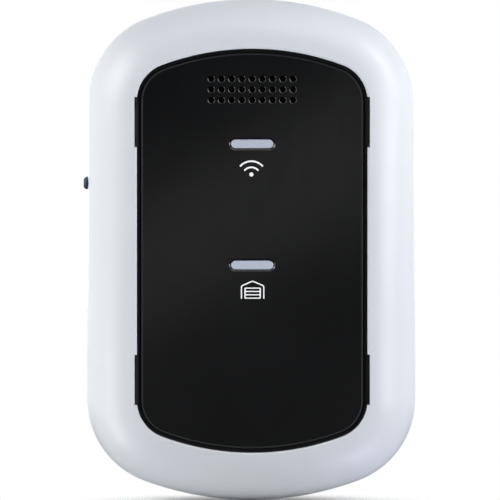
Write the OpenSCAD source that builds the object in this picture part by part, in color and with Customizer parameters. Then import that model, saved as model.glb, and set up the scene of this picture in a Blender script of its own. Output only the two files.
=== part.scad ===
// Wall-mounted garage door controller with a lit white ring around a gloss black face.
// The housing hangs on the wall: x runs to the right, z runs up and the face looks along -y.
// The origin is the centre of the back face, which lies on the wall.

/* [Housing] */
// Overall width
body_w = 103; // [98:1:112]
// Overall height
body_h = 157; // [152:1:168]
// Overall depth from the wall to the top of the ring
body_d = 36; // [35:0.5:40]
// Plan radius of the four corners
corner_r = 27.5; // [24:0.5:30]
// Plan radius of the crowned top and bottom edges
crown_r = 96; // [90:1:110]
// Wall thickness of both housing halves
wall = 2.2; // [2:0.1:2.6]
// Depth of the rear cover
rear_h = 16; // [15.5:0.25:16.5]
// Thickness of the rear floor
floor_t = 2.4; // [2:0.1:2.8]
// Radius around the back edge
back_r = 5; // [3.5:0.25:6]
// Height of the lip that laps into the ring's skirt
lip_h = 1.5; // [1:0.1:1.8]

/* [White ring] */
// Plan width of the ring
ring_w = 15.6; // [14.5:0.1:16.5]
// Radius of the shoulder that rises from the side to the face
shoulder_r = 17; // [16.5:0.1:17.5]
// Radius of the ring's inner edge
edge_r = 0.6; // [0.3:0.1:1]
// Height of the ring's inner wall
collar_h = 5.6; // [4.8:0.1:6.4]

/* [Face] */
// Visible width of the black rim around the face plate
rim_w = 1.4; // [1.2:0.1:2]
// How far the rim lies below the face plate
rim_drop = 1.2; // [0.8:0.1:1.6]
// Thickness of the face plate
plate_t = 2; // [1.6:0.1:2.4]
// How far the face plate lies below the ring's inner edge
plate_drop = 0.6; // [0.3:0.1:1]
// Rounding of the face plate's edge
plate_edge = 0.5; // [0.2:0.1:0.7]
// Thickness of the tray under the face plate
tray_t = 2; // [1.6:0.1:2.4]
// Length of each side lug
lug_len = 15.4; // [10:0.2:16]
// Distance of the side lugs' middles from the top or bottom edge
lug_end = 38.4; // [36:0.1:44]
// How far a side lug reaches into the ring
lug_out = 0.6; // [0.4:0.1:1]

/* [Sound holes] */
// Number of sound holes in a row
hole_columns = 9; // [7:1:9]
// Number of rows of sound holes
hole_rows = 3; // [2:1:3]
// Diameter of a sound hole
hole_d = 2; // [1.4:0.1:2.4]
// Distance between sound holes along a row
column_pitch = 3.18; // [2.9:0.02:3.3]
// Distance between the rows
row_pitch = 3.3; // [2.9:0.1:3.5]
// Distance of the sound holes' middle from the top edge
grille_drop = 28.3; // [26:0.1:30]

/* [Status lights] */
// Length of a light window
light_w = 13.4; // [10:0.2:15]
// Height of a light window
light_h = 2.9; // [2.4:0.1:3.3]
// Distance of the network light from the top edge
network_drop = 45.2; // [44:0.1:48]
// Distance of the door light from the top edge
door_drop = 82.9; // [78:0.1:88]

/* [Program button] */
// Diameter of the button
button_d = 4; // [3:0.1:4.4]
// How far the button stands out of the wall
button_out = 1.05; // [0.8:0.05:1.6]
// Distance of the button from the top edge
button_drop = 57.5; // [50:0.5:60]
// Press travel
button_travel = 0.5; // [0.3:0.05:0.6]

/* [Circuit board] */
// Height of the board's back above the wall
board_z = 15.4; // [15.2:0.1:15.8]
// Board thickness
board_t = 1.6; // [1.2:0.1:1.8]
// Distance of the board's edge from the outside of the housing
board_inset = 5; // [4.6:0.1:5.4]
// Length of the oval sounder
sounder_w = 34; // [32:0.5:36]
// Width of the oval sounder
sounder_l = 15.4; // [14:0.2:16]
// Thickness of the sounder's foam ring
gasket_t = 3.5; // [1.5:0.1:4.5]

/* [Wiring bay] */
// Distance of the bay from each side of the housing
bay_side = 19.5; // [18.5:0.25:21]
// Depth of the bay from the wall
bay_h = 13; // [12.8:0.1:13.2]
// Distance of the bay's end wall from the bottom edge
bay_len = 38.5; // [35:0.5:40]
// Thickness of the bay's walls and roof
bay_wall = 1.4; // [1.2:0.1:1.6]
// Step between the bay's side and the cable exit's side
exit_step = 5; // [4:0.25:8]

/* [Terminals] */
// Distance between the terminal poles
pole_pitch = 5; // [5:0.1:5.2]
// Height of the terminal block
terminal_h = 11; // [10.6:0.1:12]
// Length of the terminal block behind its face
terminal_deep = 12; // [11.5:0.25:14]
// Distance of the terminal block's middle from the bay's left side
terminal_side = 18.5; // [17.5:0.25:21]
// Width of a wire entry
entry_w = 2.6; // [2:0.1:3]
// Press travel of a release button
release_travel = 1; // [0.6:0.1:1.2]

/* [Power inlet] */
// Distance of the inlet's middle from the bay's right side
jack_side = 10; // [9:0.25:13]
// Width of the inlet's housing
jack_w = 9; // [8.4:0.2:10]
// Length of the inlet's housing
jack_deep = 14; // [13:0.5:16]
// Diameter of the inlet's mouth
mouth_d = 6.3; // [5.8:0.1:6.6]
// Diameter of the inlet's centre pin
pin_d = 2; // [1.6:0.1:2.5]

/* [Wall fixing] */
// Distance between the two keyholes
keyhole_spacing = 52; // [48:1:54]
// Distance of the keyhole entries from the top edge
keyhole_drop = 42.5; // [40:0.5:45]
// Diameter of a keyhole entry
entry_d = 9; // [8:0.2:10]
// Width of a keyhole slot
slot_w = 4.6; // [4:0.1:5]
// Length of a keyhole slot above its entry
slot_rise = 8; // [7:0.25:9]
// Depth of the space behind a keyhole
pocket_h = 5; // [4.4:0.1:6]

/* [Screws] */
// Diameter of the case screws
case_screw_d = 2.9; // [2.5:0.1:3.2]
// Distance of the case screws from the side of the housing
post_edge = 11.5; // [11:0.1:12.5]
// Distance of the case screws from the top or bottom of the housing
post_end = 23.5; // [23:0.5:25]
// Diameter of the board screws
board_screw_d = 2.4; // [2:0.1:2.6]
// Distance of the board screws from the side of the housing
stand_edge = 15.5; // [15:0.25:16.5]

/* [Hidden] */
// clearances
seam_gap = 0.2;
fit = 0.15;
press_gap = 0.2;
thread_gap = 0.05;
float_gap = 0.3;
// how far a cutting shape runs past what it cuts, and a root into what it grows from
cut = 1;
root = 0.5;

// plan outline
corner_steps = 12;
crown_steps = 10;
side = body_w / 2;
end = body_h / 2;
corner_x = side - corner_r;
crown_y = end - crown_r;
corner_y = crown_y + sqrt(pow(crown_r - corner_r, 2) - pow(corner_x, 2));
corner_a = atan2(corner_y - crown_y, corner_x);

// levels of the ring, the face plate, the tray and the board
edge_u = ring_w - edge_r;
edge_z = body_d - edge_r;
shoulder_z = edge_z - sqrt(pow(shoulder_r - edge_r, 2) - pow(edge_u - shoulder_r, 2));
edge_a = atan2(edge_z - shoulder_z, edge_u - shoulder_r);
collar_z = edge_z - collar_h;
seam_z = rear_h + seam_gap;
lap = wall / 2;
rebate_z = seam_z + lip_h;
plate_z = edge_z - plate_drop;
tray_top = plate_z - plate_t;
tray_z = tray_top - tray_t;
rim_z = plate_z - rim_drop;
edge_share = 0.3;
frame_u = ring_w + fit;
plate_u = ring_w + rim_w;
board_top = board_z + board_t;

// places measured from the edges of the housing
headroom = tray_z - board_top;
lug_y = end - lug_end;
grille_y = end - grille_drop;
network_y = end - network_drop;
door_y = end - door_drop;
button_y = end - button_drop;
keyhole_y = end - keyhole_drop;
bay_w = 2 * (side - bay_side);
bay_top = end - bay_len;
exit_w = bay_w - 2 * exit_step;
terminal_x = terminal_side - bay_w / 2;
jack_x = bay_w / 2 - jack_side;

// tray hooks under the ring's inner wall
hook_y = 18;
hook_w = 10;
hook_out = 1.1;
hook_h = 1.6;
hook_lead = 0.2;
hook_land = 0.5;
skirt_t = 1.6;
skirt_z = collar_z - hook_h - fit;
lug_h = 1.2;
lug_rise = 0.4;

// sound holes, cloth and sounder
grille_w = (hole_columns - 1) * column_pitch + hole_d;
grille_h = (hole_rows - 1) * row_pitch + hole_d;
cloth_t = 0.4;
cloth_edge = 1.2;
sounder_h = headroom - gasket_t;
sounder_wall = 1.6;
ledge_drop = 3;
ledge_h = sounder_h - ledge_drop;
ledge_w = 1;
cone_t = 0.5;

// light guides
flange_t = 1.2;
flange_w = 0.8;
guide_w = light_w - 2;
guide_h = light_h - 0.4;
led_w = 3.5;
led_l = 2.4;
led_h = 1.2;

// program button and its switch
button_r = button_d / 2;
button_rise = 3.8;
button_z = board_top + button_rise;
button_chamfer = 0.65;
wall_x = side - wall;
collar_t = 0.8;
collar_w = 1.2;
collar_r = button_r + collar_w;
stem_r = 1.3;
stem_l = 0.6;
collar_x = wall_x - float_gap;
plunger_x = collar_x - collar_t - stem_l;
plunger_out = 1.4;
plunger_in = 1.6;
switch_x = plunger_x - plunger_out;
switch_deep = 4.5;
switch_w = 6.2;
switch_h = 6.4;

// board parts
stand_drop = 66.5;
stand_lift = 48.5;
stand_x = side - stand_edge;
stand_ys = [end - stand_drop, stand_lift - end];
stand_r = 3.2;
alert_edge = 9;
alert_drop = 38.5;
alert_lift = 36.5;
alert_x = side - alert_edge;
alert_ys = [alert_lift - end, -14, 4, end - alert_drop];
alert_end_x = 20;
alert_end_edge = 12.5;
alert_end_y = end - alert_end_edge;
alert_w = 5;
alert_h = 1.6;
module_edge = 23.5;
module_drop = 49.5;
module_x = side - module_edge;
module_y = end - module_drop;
module_w = 18;
module_l = 25.5;
module_t = 0.8;
shield_w = 15.8;
shield_l = 17.6;
shield_h = 2.4;
shield_t = 0.3;
shield_edge = 1;
chip_rise = 16.4;
chip_y = door_y + chip_rise;
chip_w = 10;
chip_t = 1.2;
relay_count = 3;
relay_pitch = 13;
relay_edge = 25.5;
relay_lift = 26.5;
relay_room = 0.6;
relay_x = relay_edge - side;
relay_y = relay_lift - end;
relay_w = 10.2;
relay_l = 15.2;
relay_h = skirt_z - board_top - relay_room;
capacitor_edges = [29.5, 19.5, 24.5];
capacitor_lifts = [28.5, 29.5, 19];
capacitor_room = 0.8;
capacitor_r = 4;
capacitor_h = skirt_z - board_top - capacitor_room;
inductor_edge = 26.5;
inductor_lift = 60.5;
inductor_x = side - inductor_edge;
inductor_y = inductor_lift - end;
inductor_w = 9;
inductor_h = 5;

// terminals
pole_count = 6;
terminal_end = 0.75;
terminal_w = pole_count * pole_pitch + 2 * terminal_end;
terminal_z = board_z - terminal_h;
entry_rise = 3;
entry_z = terminal_z + entry_rise;
entry_deep = 3;
clamp_w = 3.6;
clamp_l = 6.4;
clamp_top = entry_z + clamp_w / 2;
contact_t = 0.5;
contact_w = 2.4;
leg_w = 0.8;
leg_y = entry_deep + clamp_l - leg_w;
leg_out = 1.2;
leg_hole_r = leg_w * 0.9;
release_w = 3.2;
release_h = 2.6;
release_z = bay_h - float_gap - release_h / 2;
release_nick = 0.7;
release_nick_deep = 0.4;
release_l = 5.9;
release_out = release_travel + fit;

// power inlet
jack_drop = 7.6;
jack_z = board_z - jack_drop;
jack_floor = 4.8;
jack_h = jack_drop + jack_floor;
mouth_deep = 10;
pin_r = pin_d / 2;
pin_back = 1.2;
pin_tip = 0.5;
tip_r = pin_r - pin_tip * 0.8;
root_r = pin_r + root;
root_l = 2.6;

// wall fixing and screws
key_x = keyhole_spacing / 2;
key_wall = 1.6;
post_x = side - post_edge;
post_y = end - post_end;
post_r = 3.2;
post_u = corner_r - norm([post_x - corner_x, post_y - corner_y]);
post_skin = 0.9;
post_top = shoulder_z - post_skin + sqrt(pow(shoulder_r, 2) - pow(shoulder_r - post_u + post_r, 2));
boss_r = 4.6;
case_screw_r = case_screw_d / 2;
case_head_r = case_screw_r + 1.3;
case_head_h = 2;
sink_z = 5;
case_screw_l = 22;
pilot_deep = case_screw_l - (rear_h - sink_z) + cut;
board_screw_r = board_screw_d / 2;
board_head_r = board_screw_r + 1.4;
board_head_h = 1.6;
board_screw_l = 8;
cross_w = 0.7;
cross_reach = 0.6;
cross_deep = 0.9;
vent_w = 30;
vent_h = 2;
vent_pitch = 5;
vent_rows = 7;
vent_y = -8;

// materials
white_plastic = "#e4e8ee";
black_plastic = "#17181a";
gloss_black = "#1c1d1f";
clear_plastic = "#b2b8cc";
navy_plastic = "#283a4c";
grey_plastic = "#6f757c";
orange_plastic = "#d9702b";
green_board = "#1f5a3a";
steel = "#b9bcc0";
brass = "#c9a24b";
black_part = "#202225";

// points along an arc in plan or in section
function arc(c, r, a0, a1, n) =
    [for (i = [0:n]) c + r * [cos(a0 + (a1 - a0) * i / n), sin(a0 + (a1 - a0) * i / n)]];

// the same arc without its two ends
function inner_arc(c, r, a0, a1, n) =
    [for (i = [1:n - 1]) c + r * [cos(a0 + (a1 - a0) * i / n), sin(a0 + (a1 - a0) * i / n)]];

// the housing's plan outline, moved inwards by d
function outline(d) = concat(
    arc([corner_x, corner_y], corner_r - d, 0, corner_a, corner_steps),
    inner_arc([0, crown_y], crown_r - d, corner_a, 180 - corner_a, crown_steps),
    arc([-corner_x, corner_y], corner_r - d, 180 - corner_a, 180, corner_steps),
    arc([-corner_x, -corner_y], corner_r - d, 180, 180 + corner_a, corner_steps),
    inner_arc([0, -crown_y], crown_r - d, 180 + corner_a, 360 - corner_a, crown_steps),
    arc([corner_x, -corner_y], corner_r - d, 360 - corner_a, 360, corner_steps)
);

// the ring's section as [distance inwards, height] points
function ring_section() = concat(
    [[0, seam_z]],
    arc([shoulder_r, shoulder_z], shoulder_r, 180, edge_a, 12),
    inner_arc([edge_u, edge_z], edge_r, edge_a, 0, 4),
    [[ring_w, edge_z], [ring_w, collar_z], [ring_w - wall, collar_z]],
    arc([shoulder_r, shoulder_z], shoulder_r - wall,
        acos((ring_w - wall - shoulder_r) / (shoulder_r - wall)), 180, 8),
    [[wall, rebate_z], [lap, rebate_z], [lap, seam_z]]
);

// turns the face view (x right, y up, z out of the wall) to the hanging position
module hang() {
    rotate([90, 0, 0]) children();
}

// a plate with the plan outline
module slab(d, z0, z1) {
    translate([0, 0, z0]) linear_extrude(z1 - z0) polygon(outline(d));
}

// a body whose outline changes with height
module loft(levels) {
    n = len(outline(0));
    top = len(levels) - 1;
    polyhedron(
        [for (l = levels) for (p = outline(l[0])) [p[0], p[1], l[1]]],
        concat(
            [[for (i = [0:n - 1]) i]],
            [[for (i = [n - 1:-1:0]) top * n + i]],
            [for (k = [0:top - 1]) for (i = [0:n - 1])
                [k * n + i, (k + 1) * n + i, (k + 1) * n + (i + 1) % n, k * n + (i + 1) % n]]
        )
    );
}

// a closed section swept around the plan outline
module sweep(section) {
    n = len(outline(0));
    m = len(section);
    polyhedron(
        [for (s = section) for (p = outline(s[0])) [p[0], p[1], s[1]]],
        [for (k = [0:m - 1]) for (i = [0:n - 1])
            [k * n + i, (k + 1) % m * n + i, (k + 1) % m * n + (i + 1) % n, k * n + (i + 1) % n]]
    );
}

// a block given by its two corners
module block(a, b) {
    translate(a) cube(b - a);
}

// a block of width w and length l that stands on the board
module on_board(x, y, w, l, h) {
    block([x - w / 2, y - l / 2, board_top], [x + w / 2, y + l / 2, board_top + h]);
}

// a round bar along z
module bar(x, y, r, z0, z1) {
    translate([x, y, z0]) cylinder(r = r, h = z1 - z0, $fn = 48);
}

// a lozenge with round ends
module stadium(w, h) {
    square([w - h, h], center = true);
    for (sx = [-1, 1]) translate([sx * (w - h) / 2, 0]) circle(d = h, $fn = 32);
}

// a lozenge-shaped plate
module lozenge(y, w, h, z0, z1) {
    translate([0, y, z0]) linear_extrude(z1 - z0) stadium(w, h);
}

// children at the four case screws
module at_posts() {
    for (sx = [-1, 1], sy = [-1, 1]) translate([sx * post_x, sy * post_y, 0]) children();
}

// children at the four board screws
module at_stands() {
    for (sx = [-1, 1], y = stand_ys) translate([sx * stand_x, y, 0]) children();
}

// children at the two keyholes
module at_keyholes() {
    for (sx = [-1, 1]) translate([sx * key_x, keyhole_y, 0]) children();
}

// children at each terminal pole, with y measured from the block's face
module at_poles() {
    for (i = [1:pole_count]) translate([pole_x(i), -bay_top, 0]) children();
}

function pole_x(i) = terminal_x + (i - (pole_count + 1) / 2) * pole_pitch;

// the four-armed recess in a screw head
module cross_recess(r, z0, z1) {
    for (a = [0, 90]) rotate(a) block([-r, -cross_w / 2, z0], [r, cross_w / 2, z1]);
}

// white ring with its skirt, collar and screw posts
module front_bezel() color(white_plastic) hang() {
    difference() {
        union() {
            sweep(ring_section());
            at_posts() bar(0, 0, post_r, seam_z, post_top);
        }
        at_posts() bar(0, 0, case_screw_r + thread_gap, rear_h, rear_h + pilot_deep);
        for (sx = [-1, 1], sy = [-1, 1]) scale([sx, sy, 1]) lug_room();
        translate([-side - cut, button_y, button_z]) rotate([0, 90, 0])
            cylinder(r = button_r + press_gap, h = wall + 2 * cut, $fn = 48);
        translate([-wall_x, button_y, button_z]) rotate([0, 90, 0])
            cylinder(r = collar_r + float_gap, h = wall, $fn = 48);
    }
}

// the notch that takes one side lug
module lug_room() {
    block(
        [side - frame_u - cut, lug_y - lug_len / 2 - fit, rim_z - lug_h - fit],
        [side - ring_w + lug_out + fit, lug_y + lug_len / 2 + fit, body_d + cut]
    );
}

// back half of the housing
module rear_cover() color(white_plastic) hang() {
    difference() {
        union() {
            difference() {
                loft(concat(
                    [for (i = [0:6]) [back_r * (1 - sin(i * 15)), back_r * (1 - cos(i * 15))]],
                    [[0, rear_h]]
                ));
                slab(wall, floor_t, rear_h + cut);
            }
            difference() {
                slab(lap + fit, rear_h - root, rear_h + lip_h);
                slab(wall, rear_h - cut, rear_h + lip_h + cut);
            }
            at_posts() bar(0, 0, boss_r, floor_t / 2, rear_h);
            at_stands() bar(0, 0, stand_r, floor_t / 2, board_z);
            at_keyholes() keyhole_box(key_wall, floor_t / 2, floor_t + pocket_h + key_wall);
            intersection() {
                slab(wall / 2, floor_t / 2, bay_h + bay_wall);
                block(
                    [-bay_w / 2 - bay_wall, -body_h, 0],
                    [bay_w / 2 + bay_wall, bay_wall - bay_top, body_d]
                );
            }
        }
        at_posts() {
            bar(0, 0, case_head_r + float_gap, -cut, sink_z);
            bar(0, 0, case_screw_r + press_gap, 0, rear_h + cut);
        }
        at_stands() bar(0, 0, board_screw_r + thread_gap, board_z - board_screw_l, board_z + cut);
        at_keyholes() {
            keyhole_box(0, floor_t, floor_t + pocket_h);
            bar(0, 0, entry_d / 2, -cut, floor_t + cut);
            bar(0, slot_rise, slot_w / 2, -cut, floor_t + cut);
            block([-slot_w / 2, 0, -cut], [slot_w / 2, slot_rise, floor_t + cut]);
        }
        intersection() {
            slab(back_r + bay_wall, -cut, bay_h);
            block([-bay_w / 2, -body_h, -body_d], [bay_w / 2, -bay_top, body_d]);
        }
        block([-exit_w / 2, -body_h, -cut], [exit_w / 2, -bay_top - cut, bay_h]);
        block(
            [terminal_x - terminal_w / 2 - fit, -bay_top - cut, terminal_z - fit],
            [terminal_x + terminal_w / 2 + fit, bay_wall - bay_top + cut, body_d]
        );
        block(
            [jack_x - jack_w / 2 - fit, -bay_top - cut, board_z - jack_h - fit],
            [jack_x + jack_w / 2 + fit, bay_wall - bay_top + cut, body_d]
        );
        for (i = [0:vent_rows - 1]) {
            y = vent_y + (i - (vent_rows - 1) / 2) * vent_pitch;
            lozenge(y, vent_w, vent_h, -cut, floor_t + cut);
        }
    }
}

// the box behind a keyhole, grown by d
module keyhole_box(d, z0, z1) {
    half = entry_d / 2 + float_gap + d;
    block([-half, -half, z0], [half, slot_rise + half, z1]);
}

// black tray that carries the face plate and hooks under the ring's collar
module face_frame() color(black_plastic) hang() {
    difference() {
        union() {
            slab(frame_u, skirt_z, rim_z);
            for (sx = [-1, 1], sy = [-1, 1]) scale([sx, sy, 1]) {
                side_lug();
                snap_hook();
            }
        }
        slab(plate_u - fit, tray_top, body_d);
        slab(frame_u + skirt_t, 0, tray_z);
        for (y = [network_y, door_y])
            lozenge(y, light_w + 2 * fit, light_h + 2 * fit, 0, body_d);
        grille_block(0, 0, body_d);
        grille_block(cloth_edge + fit, tray_top - cloth_t, body_d);
    }
}

// a lug that fills one notch of the ring, with a sloped upper face
module side_lug() {
    x0 = side - frame_u;
    translate([0, lug_y + lug_len / 2, 0]) rotate([90, 0, 0]) linear_extrude(lug_len) polygon([
        [x0 - root, rim_z - lug_h],
        [x0 + lug_out + fit, rim_z - lug_h],
        [x0 + lug_out + fit, rim_z + lug_rise],
        [x0 - root, rim_z]
    ]);
}

// a hook that holds the tray under the ring's collar
module snap_hook() {
    x0 = side - frame_u;
    translate([0, hook_y + hook_w / 2, 0]) rotate([90, 0, 0]) linear_extrude(hook_w) polygon([
        [x0 - root, skirt_z],
        [x0 + hook_lead, skirt_z],
        [x0 + hook_out, collar_z - fit - hook_land],
        [x0 + hook_out, collar_z - fit],
        [x0 - root, collar_z - fit]
    ]);
}

// gloss face with sound holes and light windows
module face_plate() color(gloss_black) hang() {
    difference() {
        loft([
            [plate_u, tray_top],
            [plate_u, plate_z - plate_edge],
            [plate_u + plate_edge * edge_share, plate_z - plate_edge * edge_share],
            [plate_u + plate_edge, plate_z]
        ]);
        for (i = [0:hole_columns - 1], j = [0:hole_rows - 1]) {
            x = (i - (hole_columns - 1) / 2) * column_pitch;
            y = grille_y + (j - (hole_rows - 1) / 2) * row_pitch;
            translate([x, y, tray_top - cut]) cylinder(d = hole_d, h = plate_t + 2 * cut, $fn = 20);
        }
        for (y = [network_y, door_y])
            lozenge(y, light_w + 2 * fit, light_h + 2 * fit, 0, body_d);
    }
}

// dust cloth behind the sound holes
module grille_cloth() color(black_part) hang() {
    grille_block(cloth_edge, tray_top - cloth_t, tray_top);
}

// a block over all the sound holes, grown by d
module grille_block(d, z0, z1) {
    block(
        [-grille_w / 2 - d, grille_y - grille_h / 2 - d, z0],
        [grille_w / 2 + d, grille_y + grille_h / 2 + d, z1]
    );
}

// light guide from a board light to its window
module light_guide(y) color(clear_plastic) hang() {
    lozenge(y, light_w, light_h, tray_z - flange_t, plate_z - fit);
    lozenge(y, light_w + 2 * flange_w, light_h + 2 * flange_w, tray_z - flange_t, tray_z);
    lozenge(y, guide_w, guide_h, board_top + led_h + float_gap, tray_z - flange_t / 2);
}

module network_light_guide() {
    light_guide(network_y);
}

module door_light_guide() {
    light_guide(door_y);
}

// side button with a chamfered cap, a retaining collar and a stem
module program_button() color(navy_plastic) hang() {
    translate([-side - button_out, button_y, button_z]) rotate([0, 90, 0]) {
        cylinder(r1 = button_r - button_chamfer, r2 = button_r, h = button_chamfer, $fn = 48);
        translate([0, 0, button_chamfer])
            cylinder(r = button_r, h = button_out + wall + float_gap - button_chamfer, $fn = 48);
        translate([0, 0, button_out + wall + float_gap])
            cylinder(r = collar_r, h = collar_t, $fn = 48);
        translate([0, 0, button_out + wall + float_gap + collar_t])
            cylinder(r = stem_r, h = stem_l, $fn = 48);
    }
}

// moving stem of the switch, pushed by the button
module switch_plunger() color(black_part) hang() {
    translate([-plunger_x, button_y, button_z]) rotate([0, 90, 0])
        cylinder(r = stem_r, h = plunger_out + plunger_in, $fn = 48);
}

// switch on the board's left edge
module tact_switch() color(grey_plastic) hang() {
    difference() {
        block(
            [-switch_x, button_y - switch_w / 2, board_top],
            [switch_deep - switch_x, button_y + switch_w / 2, board_top + switch_h]
        );
        translate([-switch_x - cut, button_y, button_z]) rotate([0, 90, 0])
            cylinder(r = stem_r + press_gap / 2, h = cut + plunger_in + button_travel + press_gap, $fn = 48);
    }
}

// circuit board with room for the screw posts and holes for screws and terminal legs
module main_board() color(green_board) hang() {
    difference() {
        slab(board_inset, board_z, board_top);
        at_posts() bar(0, 0, boss_r + 2 * float_gap, board_z - cut, board_top + cut);
        at_stands() bar(0, 0, board_screw_r + press_gap, board_z - cut, board_top + cut);
        at_poles() bar(0, leg_y + leg_w / 2, leg_hole_r, board_z - cut, board_top + cut);
    }
}

// processor
module control_chip() color(black_part) hang() {
    on_board(0, chip_y, chip_w, chip_w, chip_t);
}

// radio board
module wireless_module() color(green_board) hang() {
    on_board(module_x, module_y, module_w, module_l, module_t);
}

// folded steel lid over the radio
module wireless_shield() color(steel) hang() {
    y = module_y - (module_l - shield_l) / 2 + shield_edge;
    translate([module_x, y, board_top + module_t]) difference() {
        block([-shield_w / 2, -shield_l / 2, 0], [shield_w / 2, shield_l / 2, shield_h]);
        block(
            [shield_t - shield_w / 2, shield_t - shield_l / 2, -cut],
            [shield_w / 2 - shield_t, shield_l / 2 - shield_t, shield_h - shield_t]
        );
    }
}

// relays that switch the door operators
module door_relays() color(navy_plastic) hang() {
    for (i = [0:relay_count - 1])
        on_board(relay_x + i * relay_pitch, relay_y, relay_w, relay_l, relay_h);
}

// oval sounder case, open at the front, with a ledge for its diaphragm
module sounder() color(black_part) hang() {
    difference() {
        sounder_oval(0, board_top, board_top + sounder_h);
        sounder_oval(sounder_wall, board_top + ledge_h, body_d);
        sounder_oval(sounder_wall + ledge_w, board_top + sounder_wall, body_d);
    }
}

// thin diaphragm that makes the sound
module sounder_diaphragm() color(grey_plastic) hang() {
    sounder_oval(sounder_wall + fit, board_top + ledge_h, board_top + ledge_h + cone_t);
}

// foam ring between the sounder and the tray
module sounder_gasket() color(black_part) hang() {
    difference() {
        sounder_oval(0, board_top + sounder_h, tray_z);
        sounder_oval(sounder_wall, board_top, body_d);
    }
}

// the sounder's plan shape, moved inwards by d
module sounder_oval(d, z0, z1) {
    lozenge(grille_y, sounder_w - 2 * d, sounder_l - 2 * d, z0, z1);
}

// one light under each window
module status_leds() color(white_plastic) hang() {
    for (y = [network_y, door_y]) on_board(0, y, led_w, led_l, led_h);
}

// lights that shine into the ring
module alert_leds() color(white_plastic) hang() {
    for (sx = [-1, 1]) {
        for (y = alert_ys) on_board(sx * alert_x, y, alert_w, alert_w, alert_h);
        for (sy = [-1, 1]) on_board(sx * alert_end_x, sy * alert_end_y, alert_w, alert_w, alert_h);
    }
}

// supply capacitors
module capacitors() color(navy_plastic) hang() {
    for (i = [0:len(capacitor_edges) - 1])
        translate([side - capacitor_edges[i], capacitor_lifts[i] - end, 0])
            bar(0, 0, capacitor_r, board_top, board_top + capacitor_h);
}

// supply inductor
module power_inductor() color(black_part) hang() {
    on_board(inductor_x, inductor_y, inductor_w, inductor_w, inductor_h);
}

// push-in terminal block under the board, facing down into the bay
module terminal_block() color(grey_plastic) hang() {
    difference() {
        block(
            [terminal_x - terminal_w / 2, -bay_top, terminal_z],
            [terminal_x + terminal_w / 2, terminal_deep - bay_top, board_z]
        );
        at_poles() {
            block(
                [-entry_w / 2, -cut, entry_z - entry_w / 2],
                [entry_w / 2, entry_deep + cut, entry_z + entry_w / 2]
            );
            block(
                [-clamp_w / 2, entry_deep, entry_z - clamp_w / 2],
                [clamp_w / 2, entry_deep + clamp_l, clamp_top]
            );
            block(
                [-leg_w / 2 - fit, leg_y - fit, clamp_top - cut],
                [leg_w / 2 + fit, leg_y + leg_w + fit, board_z + cut]
            );
            block(
                [-release_w / 2 - press_gap, -cut, release_z - release_h / 2 - press_gap],
                [release_w / 2 + press_gap, release_l + release_travel + press_gap,
                 release_z + release_h / 2 + press_gap]
            );
        }
    }
}

// metal clamps with their legs through the board
module terminal_contacts() color(steel) hang() {
    at_poles() {
        block(
            [-contact_w / 2, entry_deep + fit, clamp_top - contact_t],
            [contact_w / 2, leg_y + leg_w, clamp_top]
        );
        block(
            [-leg_w / 2, leg_y, clamp_top - contact_t],
            [leg_w / 2, leg_y + leg_w, board_top + leg_out]
        );
    }
}

// push lever that frees the wire of one pole
module release_button(i) color(orange_plastic) hang() {
    translate([pole_x(i), -bay_top, release_z]) difference() {
        block([-release_w / 2, -release_out, -release_h / 2], [release_w / 2, release_l, release_h / 2]);
        block(
            [-release_w, -release_out - cut, -release_nick / 2],
            [release_w, release_nick_deep - release_out, release_nick / 2]
        );
    }
}

// barrel inlet for the power lead, facing down into the bay
module dc_jack() color(black_part) hang() {
    difference() {
        block(
            [jack_x - jack_w / 2, -bay_top, board_z - jack_h],
            [jack_x + jack_w / 2, jack_deep - bay_top, board_z]
        );
        translate([jack_x, mouth_deep - bay_top, jack_z]) rotate([90, 0, 0])
            cylinder(d = mouth_d, h = mouth_deep + cut, $fn = 48);
        translate([jack_x, mouth_deep + root_l + thread_gap - bay_top, jack_z]) rotate([90, 0, 0])
            cylinder(r = root_r + thread_gap, h = root_l + cut, $fn = 48);
    }
}

// centre pin of the inlet, held by its thicker root
module jack_pin() color(brass) hang() {
    translate([jack_x, mouth_deep - bay_top, jack_z]) rotate([90, 0, 0]) {
        translate([0, 0, -root_l]) cylinder(r = root_r, h = root_l, $fn = 48);
        cylinder(r = pin_r, h = mouth_deep - pin_back - pin_tip, $fn = 48);
        translate([0, 0, mouth_deep - pin_back - pin_tip])
            cylinder(r1 = pin_r, r2 = tip_r, h = pin_tip, $fn = 48);
    }
}

// screws from the back that hold the two halves together
module case_screws() color(steel) hang() {
    at_posts() difference() {
        union() {
            bar(0, 0, case_head_r, sink_z - case_head_h, sink_z);
            bar(0, 0, case_screw_r, sink_z - root, sink_z + case_screw_l);
        }
        cross_recess(case_head_r * cross_reach, 0, sink_z - case_head_h + cross_deep);
    }
}

// screws that hold the board on its standoffs
module board_screws() color(steel) hang() {
    at_stands() difference() {
        union() {
            bar(0, 0, board_head_r, board_top, board_top + board_head_h);
            bar(0, 0, board_screw_r, board_z - board_screw_l + root, board_top + root);
        }
        cross_recess(board_head_r * cross_reach, board_top + board_head_h - cross_deep, body_d);
    }
}

front_bezel();
rear_cover();
face_frame();
face_plate();
grille_cloth();
network_light_guide();
door_light_guide();
program_button();
switch_plunger();
tact_switch();
main_board();
control_chip();
wireless_module();
wireless_shield();
door_relays();
sounder();
sounder_diaphragm();
sounder_gasket();
status_leds();
alert_leds();
capacitors();
power_inductor();
terminal_block();
terminal_contacts();
dc_jack();
jack_pin();
case_screws();
board_screws();
for (i = [1:pole_count])
    release_button(i);
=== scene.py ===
"""Looks of a wall-mounted garage door controller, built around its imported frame.

All the shapes are worked out in millimetres in the face view: x to the right, y up the wall and
z out of the wall. Each finished piece is then turned to the frame's own axes, in metres.
"""

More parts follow.
